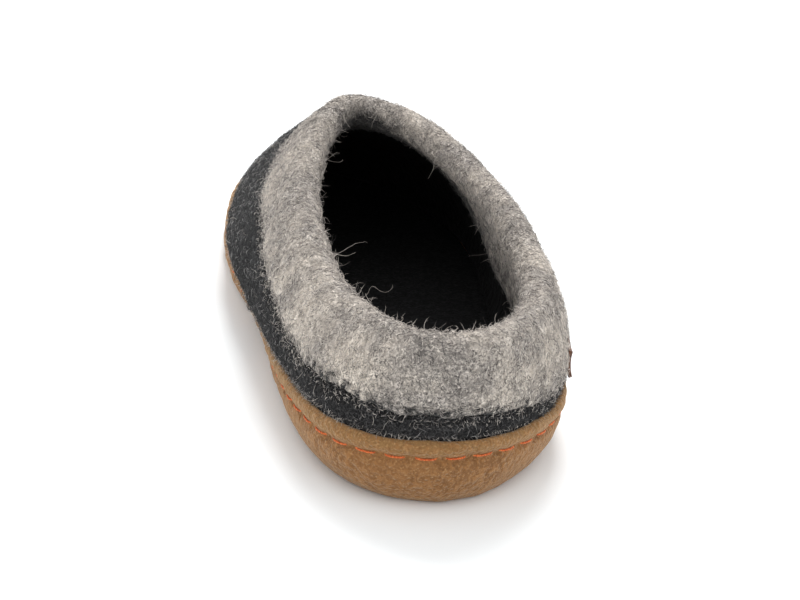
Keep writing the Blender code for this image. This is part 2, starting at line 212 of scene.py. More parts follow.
def wall_at(round_share, climb):
    """Points of the wall: climb is 0 at the feather line and 1 at the rim."""
    found = stations_at(round_share)
    foot = found[:, :2]
    flare, low, lean, high = (column(found, name)[:, None] for name in ("flare", "low", "lean", "high"))
    top = rim_at(column(found, "rim"))
    nudge = 0.001
    along = stations_at(round_share + nudge)[:, :2] - stations_at(round_share - nudge)[:, :2]
    out = unit(np.stack([along[:, 1], -along[:, 0]], axis=-1))
    inward = top[:, :2] - foot
    reach = np.maximum(np.linalg.norm(inward, axis=1, keepdims=True), 1e-9)
    to_rim = np.clip(reach / LEAN_REACH, 0, 1)
    towards = -out * (1 - to_rim) + inward / reach * to_rim
    sideways = inward - out * np.sum(inward * out, axis=1, keepdims=True)
    slide = sideways * (1 - to_rim) * SLIDE_SHARE
    height = top[:, 2:]
    feather = np.hstack([foot, 0 * height])
    low_handle = np.hstack([foot + out * flare, low * height])
    high_handle = np.hstack([foot + towards * lean + slide, high * height])
    up = np.asarray(climb)[:, None]
    left = 1 - up
    return left**3 * feather + 3 * left**2 * up * low_handle + 3 * left * up**2 * high_handle + up**3 * top


class Last:
    """The wall's columns, with rings read from them by height, by depth below the rim or round the roll."""

    def __init__(self, shares):
        self.shares = np.asarray(shares, dtype=float)
        self.steps = np.linspace(0, 1, CURVE_STEPS + 1)
        whole = np.ones(len(self.shares))
        curves = np.stack([wall_at(self.shares, climb * whole) for climb in self.steps], axis=1)
        lengths = np.linalg.norm(np.diff(curves, axis=1), axis=2)
        below_rim = np.cumsum(lengths[:, ::-1], axis=1)[:, ::-1]
        self.depths = np.hstack([below_rim, np.zeros((len(self.shares), 1))])
        self.heights = curves[:, :, 2]
        self.collar_depth = column(stations_at(self.shares), "collar")
        nudge = 0.001
        along = wall_at(self.shares + nudge, 0 * self.shares) - wall_at(self.shares - nudge, 0 * self.shares)
        self.out = unit(np.stack([along[:, 1], -along[:, 0], 0 * along[:, 0]], axis=-1))
        forward = curves[:, 0, 1] / FEATHER_LENGTH
        to_waist = np.clip(forward / WAIST_SHARE, 0, 1)
        to_toe = np.clip((forward - WAIST_SHARE) / (1 - WAIST_SHARE), 0, 1)
        self.sole_top = SOLE_TOP_HEEL + (SOLE_TOP_WAIST - SOLE_TOP_HEEL) * to_waist
        self.sole_top = self.sole_top + (SOLE_TOP_TOE - SOLE_TOP_WAIST) * to_toe
        self.sole_depth = self.read(self.heights, self.sole_top, self.depths)

    def read(self, keys, wanted, values):
        """For each column, the value where its key has the wanted size."""
        found = np.empty(len(self.shares))
        for i in range(len(self.shares)):
            order = np.argsort(keys[i])
            row = values[i] if values.ndim == 2 else values
            found[i] = np.interp(wanted[i], keys[i][order], row[order])
        return found

    def facing(self, climb):
        """Outward normals of the wall, and its upward tangents square to its rows."""
        step = 0.05
        nudge = 0.005
        low, high = np.clip(climb - step, 0, 1), np.clip(climb + step, 0, 1)
        up = wall_at(self.shares, high) - wall_at(self.shares, low)
        along = wall_at(self.shares + nudge, climb) - wall_at(self.shares - nudge, climb)
        normal = unit(np.cross(along, up))
        return normal, unit(np.cross(normal, along))

    def deep(self, depth, offset):
        """Ring at a depth below the rim along the wall, standing off the wall by offset."""
        climb = self.read(self.depths, depth + 0 * self.shares, self.steps)
        normal, _ = self.facing(climb)
        return wall_at(self.shares, climb) + normal * offset

    def level(self, height, offset):
        """Ring at one height for each column, standing off the wall by offset."""
        height = height + 0 * self.shares
        ring = wall_at(self.shares, self.read(self.heights, height, self.steps)) + self.out * offset
        ring[:, 2] = height
        return ring

    def roll(self, degrees, radius):
        """Ring round the rolled top edge: 0 is its outer side, 90 its crest, 180 its inner side."""
        climb = np.ones(len(self.shares))
        normal, up = self.facing(climb)
        centre = wall_at(self.shares, climb) + normal * ROLL_CENTRE
        angle = math.radians(degrees)
        return centre + radius * (normal * math.cos(angle) + up * math.sin(angle))


def sprung(points):
    """Lifts the toe off the floor."""
    lifted = np.array(points, dtype=float)
    share = np.clip((lifted[..., 1] - SPRING_START) / (FEATHER_LENGTH - SPRING_START), 0, None)
    lifted[..., 2] += TOE_SPRING * share**2
    return lifted


def arch(points):
    """How far the underside is hollowed above the floor at each point."""
    share = np.clip((points[..., 1] - ARCH_START) / (ARCH_END - ARCH_START), 0, 1)
    inner = np.clip(0.5 - points[..., 0] / SOLE_WIDTH, 0, 1)
    return (ARCH_OUTER + (ARCH_INNER - ARCH_OUTER) * inner) * np.sin(math.pi * share)**2


def smooth_rings(rings, steps, loop=False):
    """Rings with more of them between each two, on a smooth curve along each column."""
    rings = np.asarray(rings)
    gaps = np.maximum(np.linalg.norm(np.roll(rings, -1, axis=0) - rings, axis=2), 1e-6)[:, :, None]
    slopes = (np.roll(rings, -1, axis=0) - rings) / gaps
    gaps_before, slopes_before = np.roll(gaps, 1, axis=0), np.roll(slopes, 1, axis=0)
    tangents = (slopes * gaps_before + slopes_before * gaps) / (gaps + gaps_before)
    if not loop:
        tangents[0], tangents[-1] = slopes[0], slopes[-2]
    fine = []
    for here, count in enumerate(steps):
        after = (here + 1) % len(rings)
        for share in np.arange(count) / count:
            square, cube = share**2, share**3
            leaving = (cube - 2 * square + share) * gaps[here] * tangents[here]
            arriving = (cube - square) * gaps[here] * tangents[after]
            start = (2 * cube - 3 * square + 1) * rings[here] + leaving
            end = (3 * square - 2 * cube) * rings[after] + arriving
            fine.append(start + end)
    if not loop:
        fine.append(rings[-1])
    return np.stack(fine)


def cap_rings(ring, count, height):
    """Rings from near the spine of a ring out to the ring, at heights that height() gives."""
    across = np.roll(ring[::-1], 1, axis=0)
    rows = []
    for share in np.linspace(0.5, 0, count, endpoint=False):
        row = ring * (1 - share) + across * share
        row[:, 2] = height(row)
        rows.append(row)
    return rows


def outward(rings, loop=False):
    """Unit normals of a skin over rings that rise up its outer side."""
    along = np.roll(rings, -1, axis=1) - np.roll(rings, 1, axis=1)
    if loop:
        up = np.roll(rings, -1, axis=0) - np.roll(rings, 1, axis=0)
    else:
        up = np.gradient(rings, axis=0)
    return unit(np.cross(along, up))


def lumps(points, size, shift=0.0):
    """Soft noise, about -1 to 1, whose hills are about as wide as size."""
    flat = (points.reshape(-1, 3) / size + shift).tolist()
    return np.array([noise.noise(place) for place in flat]).reshape(points.shape[:-1])


def waves(points, layers):
    """Sum of soft noises. Each layer gives the noise's height, the width of its hills, and its shift."""
    return sum(height * lumps(points, size, shift) for height, size, shift in layers)


def placed(name, data):
    """A new object of the scene, at the origin."""
    made = bpy.data.objects.new(name, data)
    bpy.context.scene.collection.objects.link(made)
    return made


def mesh_piece(name, mesh):
    """A smooth piece of the scene from a bmesh, which is freed."""
    data = bpy.data.meshes.new(name)
    mesh.to_mesh(data)
    mesh.free()
    data.shade_smooth()
    return placed(name, data)


def wrap(name, rings, loop=False, marks=None):
    """A closed skin over rings of points: a grid bent round them, with the edges that meet merged."""
    rows, columns = rings.shape[:2]
    tall = rows if loop else rows - 1
    mesh = bmesh.new()
    bmesh.ops.create_grid(mesh, x_segments=columns, y_segments=tall, size=1)
    layers = {mark: mesh.verts.layers.float.new(mark) for mark in marks or {}}
    for vertex in mesh.verts:
        across = round((vertex.co.x + 1) / 2 * columns) % columns
        up = round((vertex.co.y + 1) / 2 * tall) % rows
        vertex.co = rings[up, across]
        for mark, layer in layers.items():
            vertex[layer] = marks[mark][up, across]
    bmesh.ops.remove_doubles(mesh, verts=mesh.verts, dist=2e-6)
    bmesh.ops.recalc_face_normals(mesh, faces=mesh.faces)
    return mesh_piece(name, mesh)


def node(tree, kind, values=None, **settings):
    """A shader node with its settings, and its inputs set to numbers or linked to other nodes' outputs."""
    made = tree.nodes.new(kind)
    for name, setting in settings.items():
        setattr(made, name, setting)
    for socket, value in (values or {}).items():
        if isinstance(value, bpy.types.NodeSocket):
            tree.links.new(value, made.inputs[socket])
        else:
            made.inputs[socket].default_value = value
    return made


def cloudy(tree, place, size, detail=2.0, distortion=0.0):
    """Noise from 0 to 1 whose patches are about as wide as size."""
    values = {"Vector": place, "Scale": 1 / size, "Detail": detail, "Distortion": distortion}
    return node(tree, "ShaderNodeTexNoise", values).outputs[0]


def pebbled(tree, place, size, feature="F1"):
    """Cells about as wide as size, dark in the middle."""
    values = {"Vector": place, "Scale": 1 / size}
    return node(tree, "ShaderNodeTexVoronoi", values, feature=feature).outputs[0]


def between(tree, value, low, high, to_low=0.0, to_high=1.0):
    """Value run softly from to_low to to_high as it goes from low to high."""
    values = {"Value": value, "From Min": low, "From Max": high, "To Min": to_low, "To Max": to_high}
    return node(tree, "ShaderNodeMapRange", values, interpolation_type="SMOOTHSTEP").outputs[0]


def maths(tree, operation, first, second):
    return node(tree, "ShaderNodeMath", {0: first, 1: second}, operation=operation).outputs[0]


def blended(tree, share, first, second):
    """Colour that goes from the first to the second as share goes from 0 to 1."""
    return node(tree, "ShaderNodeMix", {0: share, 6: first, 7: second}, data_type="RGBA").outputs[2]


def mark_of(tree, name):
    """The value that the piece's mesh carries under a name."""
    return node(tree, "ShaderNodeAttribute", attribute_name=name).outputs["Fac"]


def new_material(name, roughness, sheen, sheen_tint):
    """A material with its tree, its shader and the place on the piece."""
    material = bpy.data.materials.new(name)
    material.use_nodes = True
    tree = material.node_tree
    shader = tree.nodes["Principled BSDF"]
    shader.inputs["Roughness"].default_value = roughness
    shader.inputs["Specular IOR Level"].default_value = 0.2
    shader.inputs["Sheen Weight"].default_value = sheen
    shader.inputs["Sheen Roughness"].default_value = 0.5
    shader.inputs["Sheen Tint"].default_value = sheen_tint
    place = node(tree, "ShaderNodeTexCoord").outputs["Object"]
    return material, tree, shader, place


def emboss(tree, shader, layers):
    """Bumps on a shader, one over another. Each layer is a height from 0 to 1 and its real size."""
    normal = None
    for height, size in layers:
        values = {"Height": height, "Strength": 1.0, "Distance": size}
        if normal is not None:
            values["Normal"] = normal
        normal = node(tree, "ShaderNodeBump", values).outputs[0]
    tree.links.new(normal, shader.inputs["Normal"])


def sole_profile(last):
    """Rings of the cup: up its inner side, over the rolled top, down past the groove and round the edge."""
    top = last.sole_top
    left = top - GROOVE_DROP - UNDER_GROOVE
    inside = SOLE_FACE - SUEDE
    inner = [last.level(SOLE_FLOOR, inside), last.level((SOLE_FLOOR + top) / 2, inside)]
    upper = [last.level(top + height, SOLE_FACE + proud) for height, proud in SOLE_TOP_PROFILE]
    lower = [last.level(left * share, SOLE_FACE + proud) for share, proud in SOLE_LOW_PROFILE]
    for ring in lower[1:]:
        ring[:, 2] += arch(ring)
    return inner + upper + lower


def tuck_at(shares):
    """How far the cup is tucked in, 0 to 1: fully from the ball to the waist on the inner side."""
    return np.exp(-((shares - WAIST_TUCK_SHARE) / WAIST_TUCK_REACH)**4)


# The frame stands over the origin, so the last is moved there by what its sole's box says.
frame_sole = np.array(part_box("sole"))
coarse_sole = sprung(np.concatenate(sole_profile(Last(np.arange(FRAME_COLUMNS) / FRAME_COLUMNS))))
TO_FRAME = frame_sole.mean(axis=0) - (coarse_sole.min(axis=0) + coarse_sole.max(axis=0)) / 2
TO_FRAME[2] = 0.0

sole_last = Last(np.arange(SOLE_COLUMNS) / SOLE_COLUMNS)
INNER_STEPS = [1, 2]
TOP_STEPS = [3, 3, 3, 4, 5, 5]
LOW_STEPS = [5, 7, 6, 5, 4]
INNER_ROWS = sum(INNER_STEPS)
OUTSIDE_START = INNER_ROWS + sum(TOP_STEPS[:3])
GROOVE_ROW = INNER_ROWS + sum(TOP_STEPS)
WAVE_FADE_ROWS = 4
FLOOR_ROWS = 3
UNDERSIDE_ROWS = 9
side = smooth_rings(sole_profile(sole_last), INNER_STEPS + TOP_STEPS + LOW_STEPS)

groove = side[GROOVE_ROW]
walked = np.concatenate([[0.0], np.cumsum(np.linalg.norm(np.diff(groove, axis=0), axis=1))])
groove_length = walked[-1] + np.linalg.norm(groove[0] - groove[-1])
STITCHES = round(groove_length / STITCH_PITCH)
pitch = groove_length / STITCHES
from_middle = np.abs((walked + pitch / 2) % pitch - pitch / 2)
at_hole = np.exp(-((from_middle - STITCH_LENGTH / 2) / HOLE_REACH)**2)[None, :]
above = side[:, :, 2] - groove[None, :, 2]
pulled = np.exp(-(above / GROOVE_HALF_WIDTH)**2) * (GROOVE_PULL + HOLE_PULL * at_hole)
pulled[:OUTSIDE_START] = 0
plump = np.exp(-((above - PLUMP_ABOVE) / PLUMP_HALF_WIDTH)**2) * PLUMP * (1 - at_hole)
plump[:OUTSIDE_START] = 0
moved = waves(side, SUEDE_WAVES) - pulled + plump
shown = np.clip((np.arange(len(side)) - INNER_ROWS) / WAVE_FADE_ROWS, 0, 1)[:, None]
side = side - outward(side) * (moved * shown)[:, :, None]

tucked = tuck_at(sole_last.shares)[None, :, None]
side = side - sole_last.out * WAIST_TUCK * tucked
side[:, :, 2] *= 1 - WAIST_LOWERED * tucked[:, :, 0]

side[-1, :, 2] = arch(side[-1])
floor_rows = cap_rings(side[0], FLOOR_ROWS, lambda row: np.full(len(row), SOLE_FLOOR))
under_rows = cap_rings(side[-1], UNDERSIDE_ROWS, arch)
sole_skin = sprung(np.stack(floor_rows + list(side) + under_rows[::-1])) + TO_FRAME
sole_skin[:, :, 2] = np.maximum(sole_skin[:, :, 2], 0.0)
rolled = np.zeros(sole_skin.shape[:2])
rolled[FLOOR_ROWS:FLOOR_ROWS + len(side)] = 1 / (1 + np.exp(-(above - SMOOTH_ABOVE) / SMOOTH_FADE))
suede_sole = wrap("suede_sole", sole_skin, marks={"rolled": rolled})

SUEDE_DARK = (0.175, 0.076, 0.025, 1)
SUEDE_MID = (0.305, 0.144, 0.051, 1)
SUEDE_PALE = (0.44, 0.250, 0.110, 1)
SUEDE_OCHRE = (0.236, 0.127, 0.046, 1)
suede, tree, shader, place = new_material("tan_suede", 0.92, 0.35, (1.0, 0.82, 0.6, 1))
patches = between(tree, cloudy(tree, place, 0.016, 3.0), 0.3, 0.7)
flecks = between(tree, cloudy(tree, place, 0.0014, 3.0), 0.36, 0.66)
nap = cloudy(tree, place, 0.0006, 2.0)
pebbles = pebbled(tree, place, 0.0021, "SMOOTH_F1")
on_roll = mark_of(tree, "rolled")
grainy = blended(tree, flecks, SUEDE_DARK, SUEDE_MID)
grainy = blended(tree, maths(tree, "MULTIPLY", patches, 0.5), grainy, SUEDE_MID)
grainy = blended(tree, between(tree, nap, 0.52, 0.75, 0.0, 0.8), grainy, SUEDE_PALE)
grainy = blended(tree, between(tree, nap, 0.48, 0.25, 0.0, 0.6), grainy, SUEDE_DARK)
smooth = blended(tree, maths(tree, "MULTIPLY", flecks, 0.6), SUEDE_OCHRE, SUEDE_MID)
smooth = blended(tree, between(tree, nap, 0.52, 0.74, 0.0, 0.8), smooth, SUEDE_PALE)
smooth = blended(tree, between(tree, nap, 0.48, 0.27, 0.0, 0.7), smooth, SUEDE_DARK)
tree.links.new(blended(tree, on_roll, grainy, smooth), shader.inputs["Base Color"])
grain = maths(tree, "MULTIPLY", pebbles, between(tree, on_roll, 0.0, 1.0, 1.0, 0.45))
emboss(tree, shader, ((grain, 0.0006), (flecks, 0.00030), (nap, 0.00030)))
suede_sole.data.materials.append(suede)
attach(suede_sole, BODY)
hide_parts("sole")

# Footbed
# A flat pad of dense charcoal felt, a little dished across for the heel. It is die cut slightly large and
# pressed in between the felt walls, on the floor of the cup.
FOOTBED_COLUMNS = 240
FOOTBED_EDGE = 0.0046
FOOTBED_MIDDLE = 0.0034
FOOTBED_ROUND = 0.0012
FOOTBED_HALF_WIDTH = 0.035
FOOTBED_SQUEEZE = 0.0005
FOOTBED_TOP_ROWS = 16
FOOTBED_DENT = 0.00018
FOOTBED_DENT_SIZE = 0.009
footbed_last = Last(np.arange(FOOTBED_COLUMNS) / FOOTBED_COLUMNS)
footbed_wall = SOLE_FACE - SUEDE - GAP - FELT_WALL + FOOTBED_SQUEEZE
footbed_base = SOLE_FLOOR + GAP


def footbed_height(row):
    share = np.clip(np.abs(row[:, 0]) / FOOTBED_HALF_WIDTH, 0, 1)
    return footbed_base + FOOTBED_MIDDLE + (FOOTBED_EDGE - FOOTBED_MIDDLE) * share**2


edge = smooth_rings([
    footbed_last.level(footbed_base, footbed_wall),
    footbed_last.level(footbed_base + FOOTBED_EDGE - FOOTBED_ROUND, footbed_wall),
    footbed_last.level(footbed_base + FOOTBED_EDGE - 0.3 * FOOTBED_ROUND, footbed_wall - 0.3 * FOOTBED_ROUND),
    footbed_last.level(footbed_base + FOOTBED_EDGE, footbed_wall - FOOTBED_ROUND),
], [2, 3, 3])
bottom_rows = cap_rings(edge[0], 4, lambda row: np.full(len(row), footbed_base))
top_rows = cap_rings(edge[-1], FOOTBED_TOP_ROWS, footbed_height)
footbed_skin = sprung(np.stack(bottom_rows + list(edge) + top_rows[::-1]))
dented = slice(2 - FOOTBED_TOP_ROWS, None)
footbed_skin[dented, :, 2] += FOOTBED_DENT * lumps(footbed_skin[dented], FOOTBED_DENT_SIZE)
footbed_skin = footbed_skin + TO_FRAME
footbed = wrap("felt_footbed", footbed_skin)
# Both colours are the footbed's dark charcoal felt, made darker still by painted shade for the dim inside of
# the slipper.
FOOTBED_SHADED_DARK = (0.004, 0.004, 0.0042, 1)
FOOTBED_SHADED_PALE = (0.016, 0.016, 0.017, 1)
pad, tree, shader, place = new_material("footbed_felt", 0.95, 0.0, (1, 1, 1, 1))
hairs = between(tree, cloudy(tree, place, 0.0016, 4.0, 1.5), 0.42, 0.68)
tree.links.new(blended(tree, hairs, FOOTBED_SHADED_DARK, FOOTBED_SHADED_PALE), shader.inputs["Base Color"])
emboss(tree, shader, ((cloudy(tree, place, 0.0012, 4.0, 1.0), 0.0003),))
footbed.data.materials.append(pad)
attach(footbed, BODY)
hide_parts("insole")

# Felt upper
# One seamless shell of wet-felted charcoal wool, about 5 mm thick, shrunk on the last: vamp, quarters and low
# back in one. Its foot stands inside the cup, and its top edge is hidden in the collar.
FELT_COLUMNS = 480
UPPER_FACE = -0.0003
LIP_TUCK = 0.0007
TUCK_BELOW = 0.0013
UPPER_TOP_RADIUS = 0.0023
COLLAR_EDGE = 0.0030
BAND_SETTLE = 0.0025
CUP_RINGS = 3
BAND_ROWS = 8
LIP_RING = CUP_RINGS + BAND_ROWS
FELT_BULGE = 0.0014
BULGE_ABOVE = 0.003
BULGE_REACH = 0.010
felt_last = Last(np.arange(FELT_COLUMNS) / FELT_COLUMNS)

# Soft creases, each a line on the last: its name, the share of the way round and the depth below the rim
# where it starts, the same where it ends, how wide it is, and how far the felt moves in or out.
CREASE_POINTS = 15
CREASE_FADE = 0.18
CREASES = (
    ("throat corner inner", 0.640, -0.004, 0.655, 0.030, 0.0065, -0.0016),
    ("throat corner outer", 0.372, -0.002, 0.355, 0.028, 0.0070, -0.0009),
    ("flex line over the ball", 0.330, 0.040, 0.640, 0.040, 0.0090, -0.0011),
    ("flex line behind the toes", 0.360, 0.060, 0.600, 0.062, 0.0080, -0.0008),
    ("ridge between the flex lines", 0.350, 0.050, 0.620, 0.051, 0.0070, 0.0006),
    ("waist hollow inner", 0.770, 0.012, 0.790, 0.034, 0.0120, -0.0010),
    ("heel dent", 0.030, 0.006, 0.055, 0.020, 0.0090, -0.0008),
    ("back swell inner", 0.930, 0.010, 0.900, 0.018, 0.0100, 0.0008),
)


def creased(points):
    """Points moved in or out along the last's own normal where a crease passes them."""
    moved = np.array(points)
    for _, share_from, deep_from, share_to, deep_to, width, height in CREASES:
        line = Last(np.linspace(share_from, share_to, CREASE_POINTS))
        depth = np.clip(np.linspace(deep_from, deep_to, CREASE_POINTS), 0, None)
        climb = line.read(line.depths, depth, line.steps)
        middle = sprung(wall_at(line.shares, climb))
        facing, _ = line.facing(climb)
        fade = np.sin(np.linspace(CREASE_FADE, math.pi - CREASE_FADE, CREASE_POINTS))
        apart = np.linalg.norm(points[:, :, None] - middle, axis=3)
        nearest = apart.argmin(axis=2)
        pull = height * fade[nearest] * np.exp(-(apart.min(axis=2) / width)**2)
        moved += facing[nearest] * pull[:, :, None]
    return moved


def upper_rings(last):
    """Felt wall: up its outer side, over its top edge inside the collar, and down its inner side."""
    depth = last.collar_depth
    band = last.sole_depth - depth - TUCK_BELOW
    settle = np.minimum(BAND_SETTLE, band / 3)
    free = band - 2 * settle
    outside_sole = -SUEDE + SOLE_FACE - GAP
    levels = [SOLE_FLOOR + GAP, (SOLE_FLOOR + last.sole_top) / 2, last.sole_top + SOLE_TOP_PROFILE[0][0]]
    outside, inside = [], []
    tuck = tuck_at(last.shares)
    for height in levels:
        tucked_in = (outside_sole - WAIST_TUCK * tuck)[:, None]
        outside.append(last.level(height * (1 - WAIST_LOWERED * tuck), tucked_in))
        inside.append(last.level(height, outside_sole - FELT_WALL))
    for share in np.linspace(1, 0, BAND_ROWS):
        along = depth + TUCK_BELOW + settle + free * share
        above_sole = settle + free * (1 - share)
        bulge = FELT_BULGE * tuck * np.exp(-((above_sole - BULGE_ABOVE) / BULGE_REACH)**2)
        outside.append(last.deep(along, UPPER_FACE + bulge[:, None]))
        inside.append(last.deep(along, UPPER_FACE - FELT_WALL))
    for along in (depth + TUCK_BELOW, depth - COLLAR_EDGE, (depth - COLLAR_EDGE) / 2, 0 * depth):
        outside.append(last.deep(along, ROLL_CENTRE + UPPER_TOP_RADIUS))
        inside.append(last.deep(along, ROLL_CENTRE - UPPER_TOP_RADIUS))
    outside[LIP_RING] = last.deep(depth + TUCK_BELOW, UPPER_FACE - LIP_TUCK)
    inside[LIP_RING] = last.deep(depth + TUCK_BELOW, UPPER_FACE - LIP_TUCK - FELT_WALL)
    top = [last.roll(degrees, UPPER_TOP_RADIUS) for degrees in (45, 90, 135)]
    return outside + top + inside[::-1]


OUTSIDE_STEPS = [1, 1, 4] + [7] * 7 + [3, 2, 1, 1]
INSIDE_STEPS = [1, 1, 1, 2] + [2] * 7 + [2, 1, 1]
felt_rings = smooth_rings(upper_rings(felt_last), OUTSIDE_STEPS + [1, 1, 1] + INSIDE_STEPS + [1], loop=True)
BAND_START = 2
FOOT_ROWS = sum(OUTSIDE_STEPS[:CUP_RINGS])
BAND_END = sum(OUTSIDE_STEPS[:LIP_RING])
FELT_WAVES = ((0.00055, 0.024, 11.0), (0.00030, 0.0085, 5.0), (0.00016, 0.0036, 2.0))
FELT_TONES = ((0.5, 0.013, 21.0), (0.3, 0.005, 8.0))
CALM_INSIDE = 0.25


def felted(rings, calm):
    """A loop of rings with the waves, lumps and knots of hand-made felt, smaller where calm is below 1."""
    return rings + outward(rings, loop=True) * (waves(rings, FELT_WAVES) * calm)[:, :, None]


felt_rings = creased(sprung(felt_rings))
calm = np.ones(felt_rings.shape[:2])
calm[:FOOT_ROWS] = np.linspace(0, 1, FOOT_ROWS)[:, None]
calm[BAND_END:] = CALM_INSIDE
felt_rings = felted(felt_rings, calm) + TO_FRAME
inside_share = np.zeros(felt_rings.shape[:2])
inside_share[sum(OUTSIDE_STEPS):] = 1.0
felt_tone = 0.5 + waves(felt_rings, FELT_TONES)
felt_upper = wrap("felt_upper", felt_rings, loop=True, marks={"inside": inside_share, "tone": felt_tone})


def fibre_lines(tree, place, fine_width, coarse_width):
    """Thin curly lines, fine and coarse, as of fibres on felt, where warped noise is near its middle."""
    lines = []
    for size, width in ((0.0017, fine_width), (0.0026, coarse_width)):
        level = cloudy(tree, place, size, 1.0, 1.2)
        away = maths(tree, "ABSOLUTE", maths(tree, "SUBTRACT", level, 0.5), 0.0)
        lines.append(between(tree, away, 0.0, width, 1.0, 0.0))
    return maths(tree, "MAXIMUM", *lines)


CHARCOAL_DEEP = (0.006, 0.006, 0.0065, 1)
CHARCOAL = (0.010, 0.010, 0.0105, 1)
CHARCOAL_HAIR = (0.16, 0.155, 0.155, 1)
LINING_DARK_AND_SHADE = (0.0035, 0.0035, 0.0037, 1)
felt_finish, tree, shader, place = new_material("charcoal_felt", 0.95, 0.02, (0.8, 0.8, 0.82, 1))
mottle = between(tree, cloudy(tree, place, 0.0035, 4.0, 0.5), 0.35, 0.65)
toned = between(tree, mark_of(tree, "tone"), 0.2, 0.9)
mottle = maths(tree, "MULTIPLY", mottle, between(tree, toned, 0.0, 1.0, 0.6, 1.1))
lines = fibre_lines(tree, place, 0.040, 0.030)
speckle = cloudy(tree, place, 0.0006, 2.0)
colour = blended(tree, mottle, CHARCOAL_DEEP, CHARCOAL)
colour = blended(tree, maths(tree, "MULTIPLY", lines, 0.35), colour, CHARCOAL_HAIR)
colour = blended(tree, between(tree, speckle, 0.55, 0.75, 0.0, 0.55), colour, CHARCOAL_HAIR)
# The inner side of the shell is blended to near black: partly the dark lining felt, partly painted shade
# inside the slipper.
colour = blended(tree, mark_of(tree, "inside"), colour, LINING_DARK_AND_SHADE)
tree.links.new(colour, shader.inputs["Base Color"])
emboss(tree, shader, ((mottle, 0.0005), (lines, 0.0002)))
felt_upper.data.materials.append(felt_finish)
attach(felt_upper, BODY)
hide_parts("upper")

# Rolled collar
# A band of light grey wool felt, mottled with cream and dark hair. It is folded over the top edge of the
# upper and felted on, so its lower edge ends ragged and almost flush in the charcoal.
COLLAR_PLY = 0.0024
COLLAR_INNER_FACE = ROLL_CENTRE - ROLL_RADIUS
COLLAR_BEVEL = 0.0010
LIP_THICKNESS = 0.0002
LIP_RISE = 0.0024
LIP_CALM = (0.3, 0.6, 0.8)
EDGE_WAVES = ((0.0011, 0.011, 31.0), (0.0011, 0.0042, 13.0))


def collar_rings(last, depth):
    """Folded felt band: up its outer face, over the roll, down its inner face, and back against the upper."""
    rows = [(depth - COLLAR_EDGE) * share for share in (0.0, 0.33, 0.67, 1.0)]
    lip_under = UPPER_FACE - LIP_TUCK + GAP
    lip_inside = UPPER_FACE - LIP_TUCK - FELT_WALL - GAP
    outer = [last.deep(depth, lip_under + LIP_THICKNESS)]
    outer += [last.deep(depth - LIP_RISE, COLLAR_FACE - COLLAR_BEVEL / 5)]
    outer += [last.deep(along, COLLAR_FACE) for along in reversed(rows)]
    crest = [last.roll(degrees, ROLL_RADIUS) for degrees in (30, 60, 90, 120, 150)]
    inner = [last.deep(along, COLLAR_INNER_FACE) for along in rows]
    inner += [last.deep(depth - COLLAR_BEVEL, COLLAR_INNER_FACE + COLLAR_BEVEL)]
    inner += [last.deep(depth, lip_inside - 2 * LIP_THICKNESS)]
    hidden = ROLL_RADIUS - COLLAR_PLY
    back_up = [last.deep(depth, lip_inside)]
    back_up += [last.deep(along, ROLL_CENTRE - hidden) for along in reversed(rows)]
    over = [last.roll(degrees, hidden) for degrees in (135, 90, 45)]
    back_down = [last.deep(along, ROLL_CENTRE + hidden) for along in rows]
    back_down += [last.deep(depth, lip_under)]
    return outer + crest + inner + back_up + over + back_down


edge_line = felt_last.deep(felt_last.collar_depth, 0.0)
rings = collar_rings(felt_last, felt_last.collar_depth + waves(edge_line, EDGE_WAVES))
FACE_STEPS = [2, 3, 5, 5, 5]
CREST_STEPS = [3] * 6
INNER_SIDE_STEPS = [4, 4, 4, 2, 2]
HIDDEN_STEPS = [1] * 14
collar_skin = smooth_rings(rings, FACE_STEPS + CREST_STEPS + INNER_SIDE_STEPS + HIDDEN_STEPS, loop=True)
CREST_START = sum(FACE_STEPS)
CREST_END = CREST_START + sum(CREST_STEPS)
COLLAR_SHOWN = CREST_END + sum(INNER_SIDE_STEPS)
collar_skin = creased(sprung(collar_skin))
calm = np.ones(collar_skin.shape[:2])
calm[:len(LIP_CALM)] = np.array(LIP_CALM)[:, None]
calm[COLLAR_SHOWN:] = 0.0
collar_skin = felted(collar_skin, calm) + TO_FRAME
row_number = np.arange(len(collar_skin))
THROAT_Y = RIM_FRONT + TO_FRAME[1]
THROAT_SHADE_ROWS = 18
THROAT_SHADE_REACH = 0.032


def painted_shade_rows(points):
    """How many rows higher the painted shade inside the opening starts: more of them towards the throat."""
    return THROAT_SHADE_ROWS * np.exp(-((points[..., 1] - THROAT_Y) / THROAT_SHADE_REACH)**2)


# How far each row of the collar lies in the dark inside: partly its dark lining wool, partly painted shade,
# which starts higher under the throat.
past_crest = row_number[:, None] - CREST_END + painted_shade_rows(collar_skin)
goes_in = np.clip(past_crest / (COLLAR_SHOWN - CREST_END), 0, 1)
goes_in[:CREST_START] = 0.0
goes_in[COLLAR_SHOWN:] = 1.0

# Where the mixed wool lies in paler or darker clouds: its name, the share of the way round, the depth below
# the rim, how wide it is, and how much paler.
WOOL_CLOUDS = (
    ("cream, inner quarter", 0.900, 0.014, 0.013, 0.46),
    ("cream, inner waist", 0.850, 0.012, 0.011, 0.34),
    ("cream, heel inner", 0.950, 0.013, 0.009, 0.36),
    ("cream, heel outer", 0.060, 0.012, 0.011, 0.36),
    ("cream, outer side", 0.130, 0.012, 0.014, 0.24),
    ("grey, heel", 0.000, 0.008, 0.008, -0.26),
    ("grey, heel low", 0.970, 0.017, 0.006, -0.20),
    ("grey, rim inner", 0.790, 0.003, 0.009, -0.22),
)
WOOL_MIDDLE_TONE = 0.46
WOOL_TONES = ((0.26, 0.021, 41.0), (0.34, 0.0082, 17.0), (0.24, 0.0034, 9.0))
cloud_last = Last([row[1] for row in WOOL_CLOUDS])
cloud_places = sprung(cloud_last.deep(np.array([row[2] for row in WOOL_CLOUDS]), 0.0)) + TO_FRAME


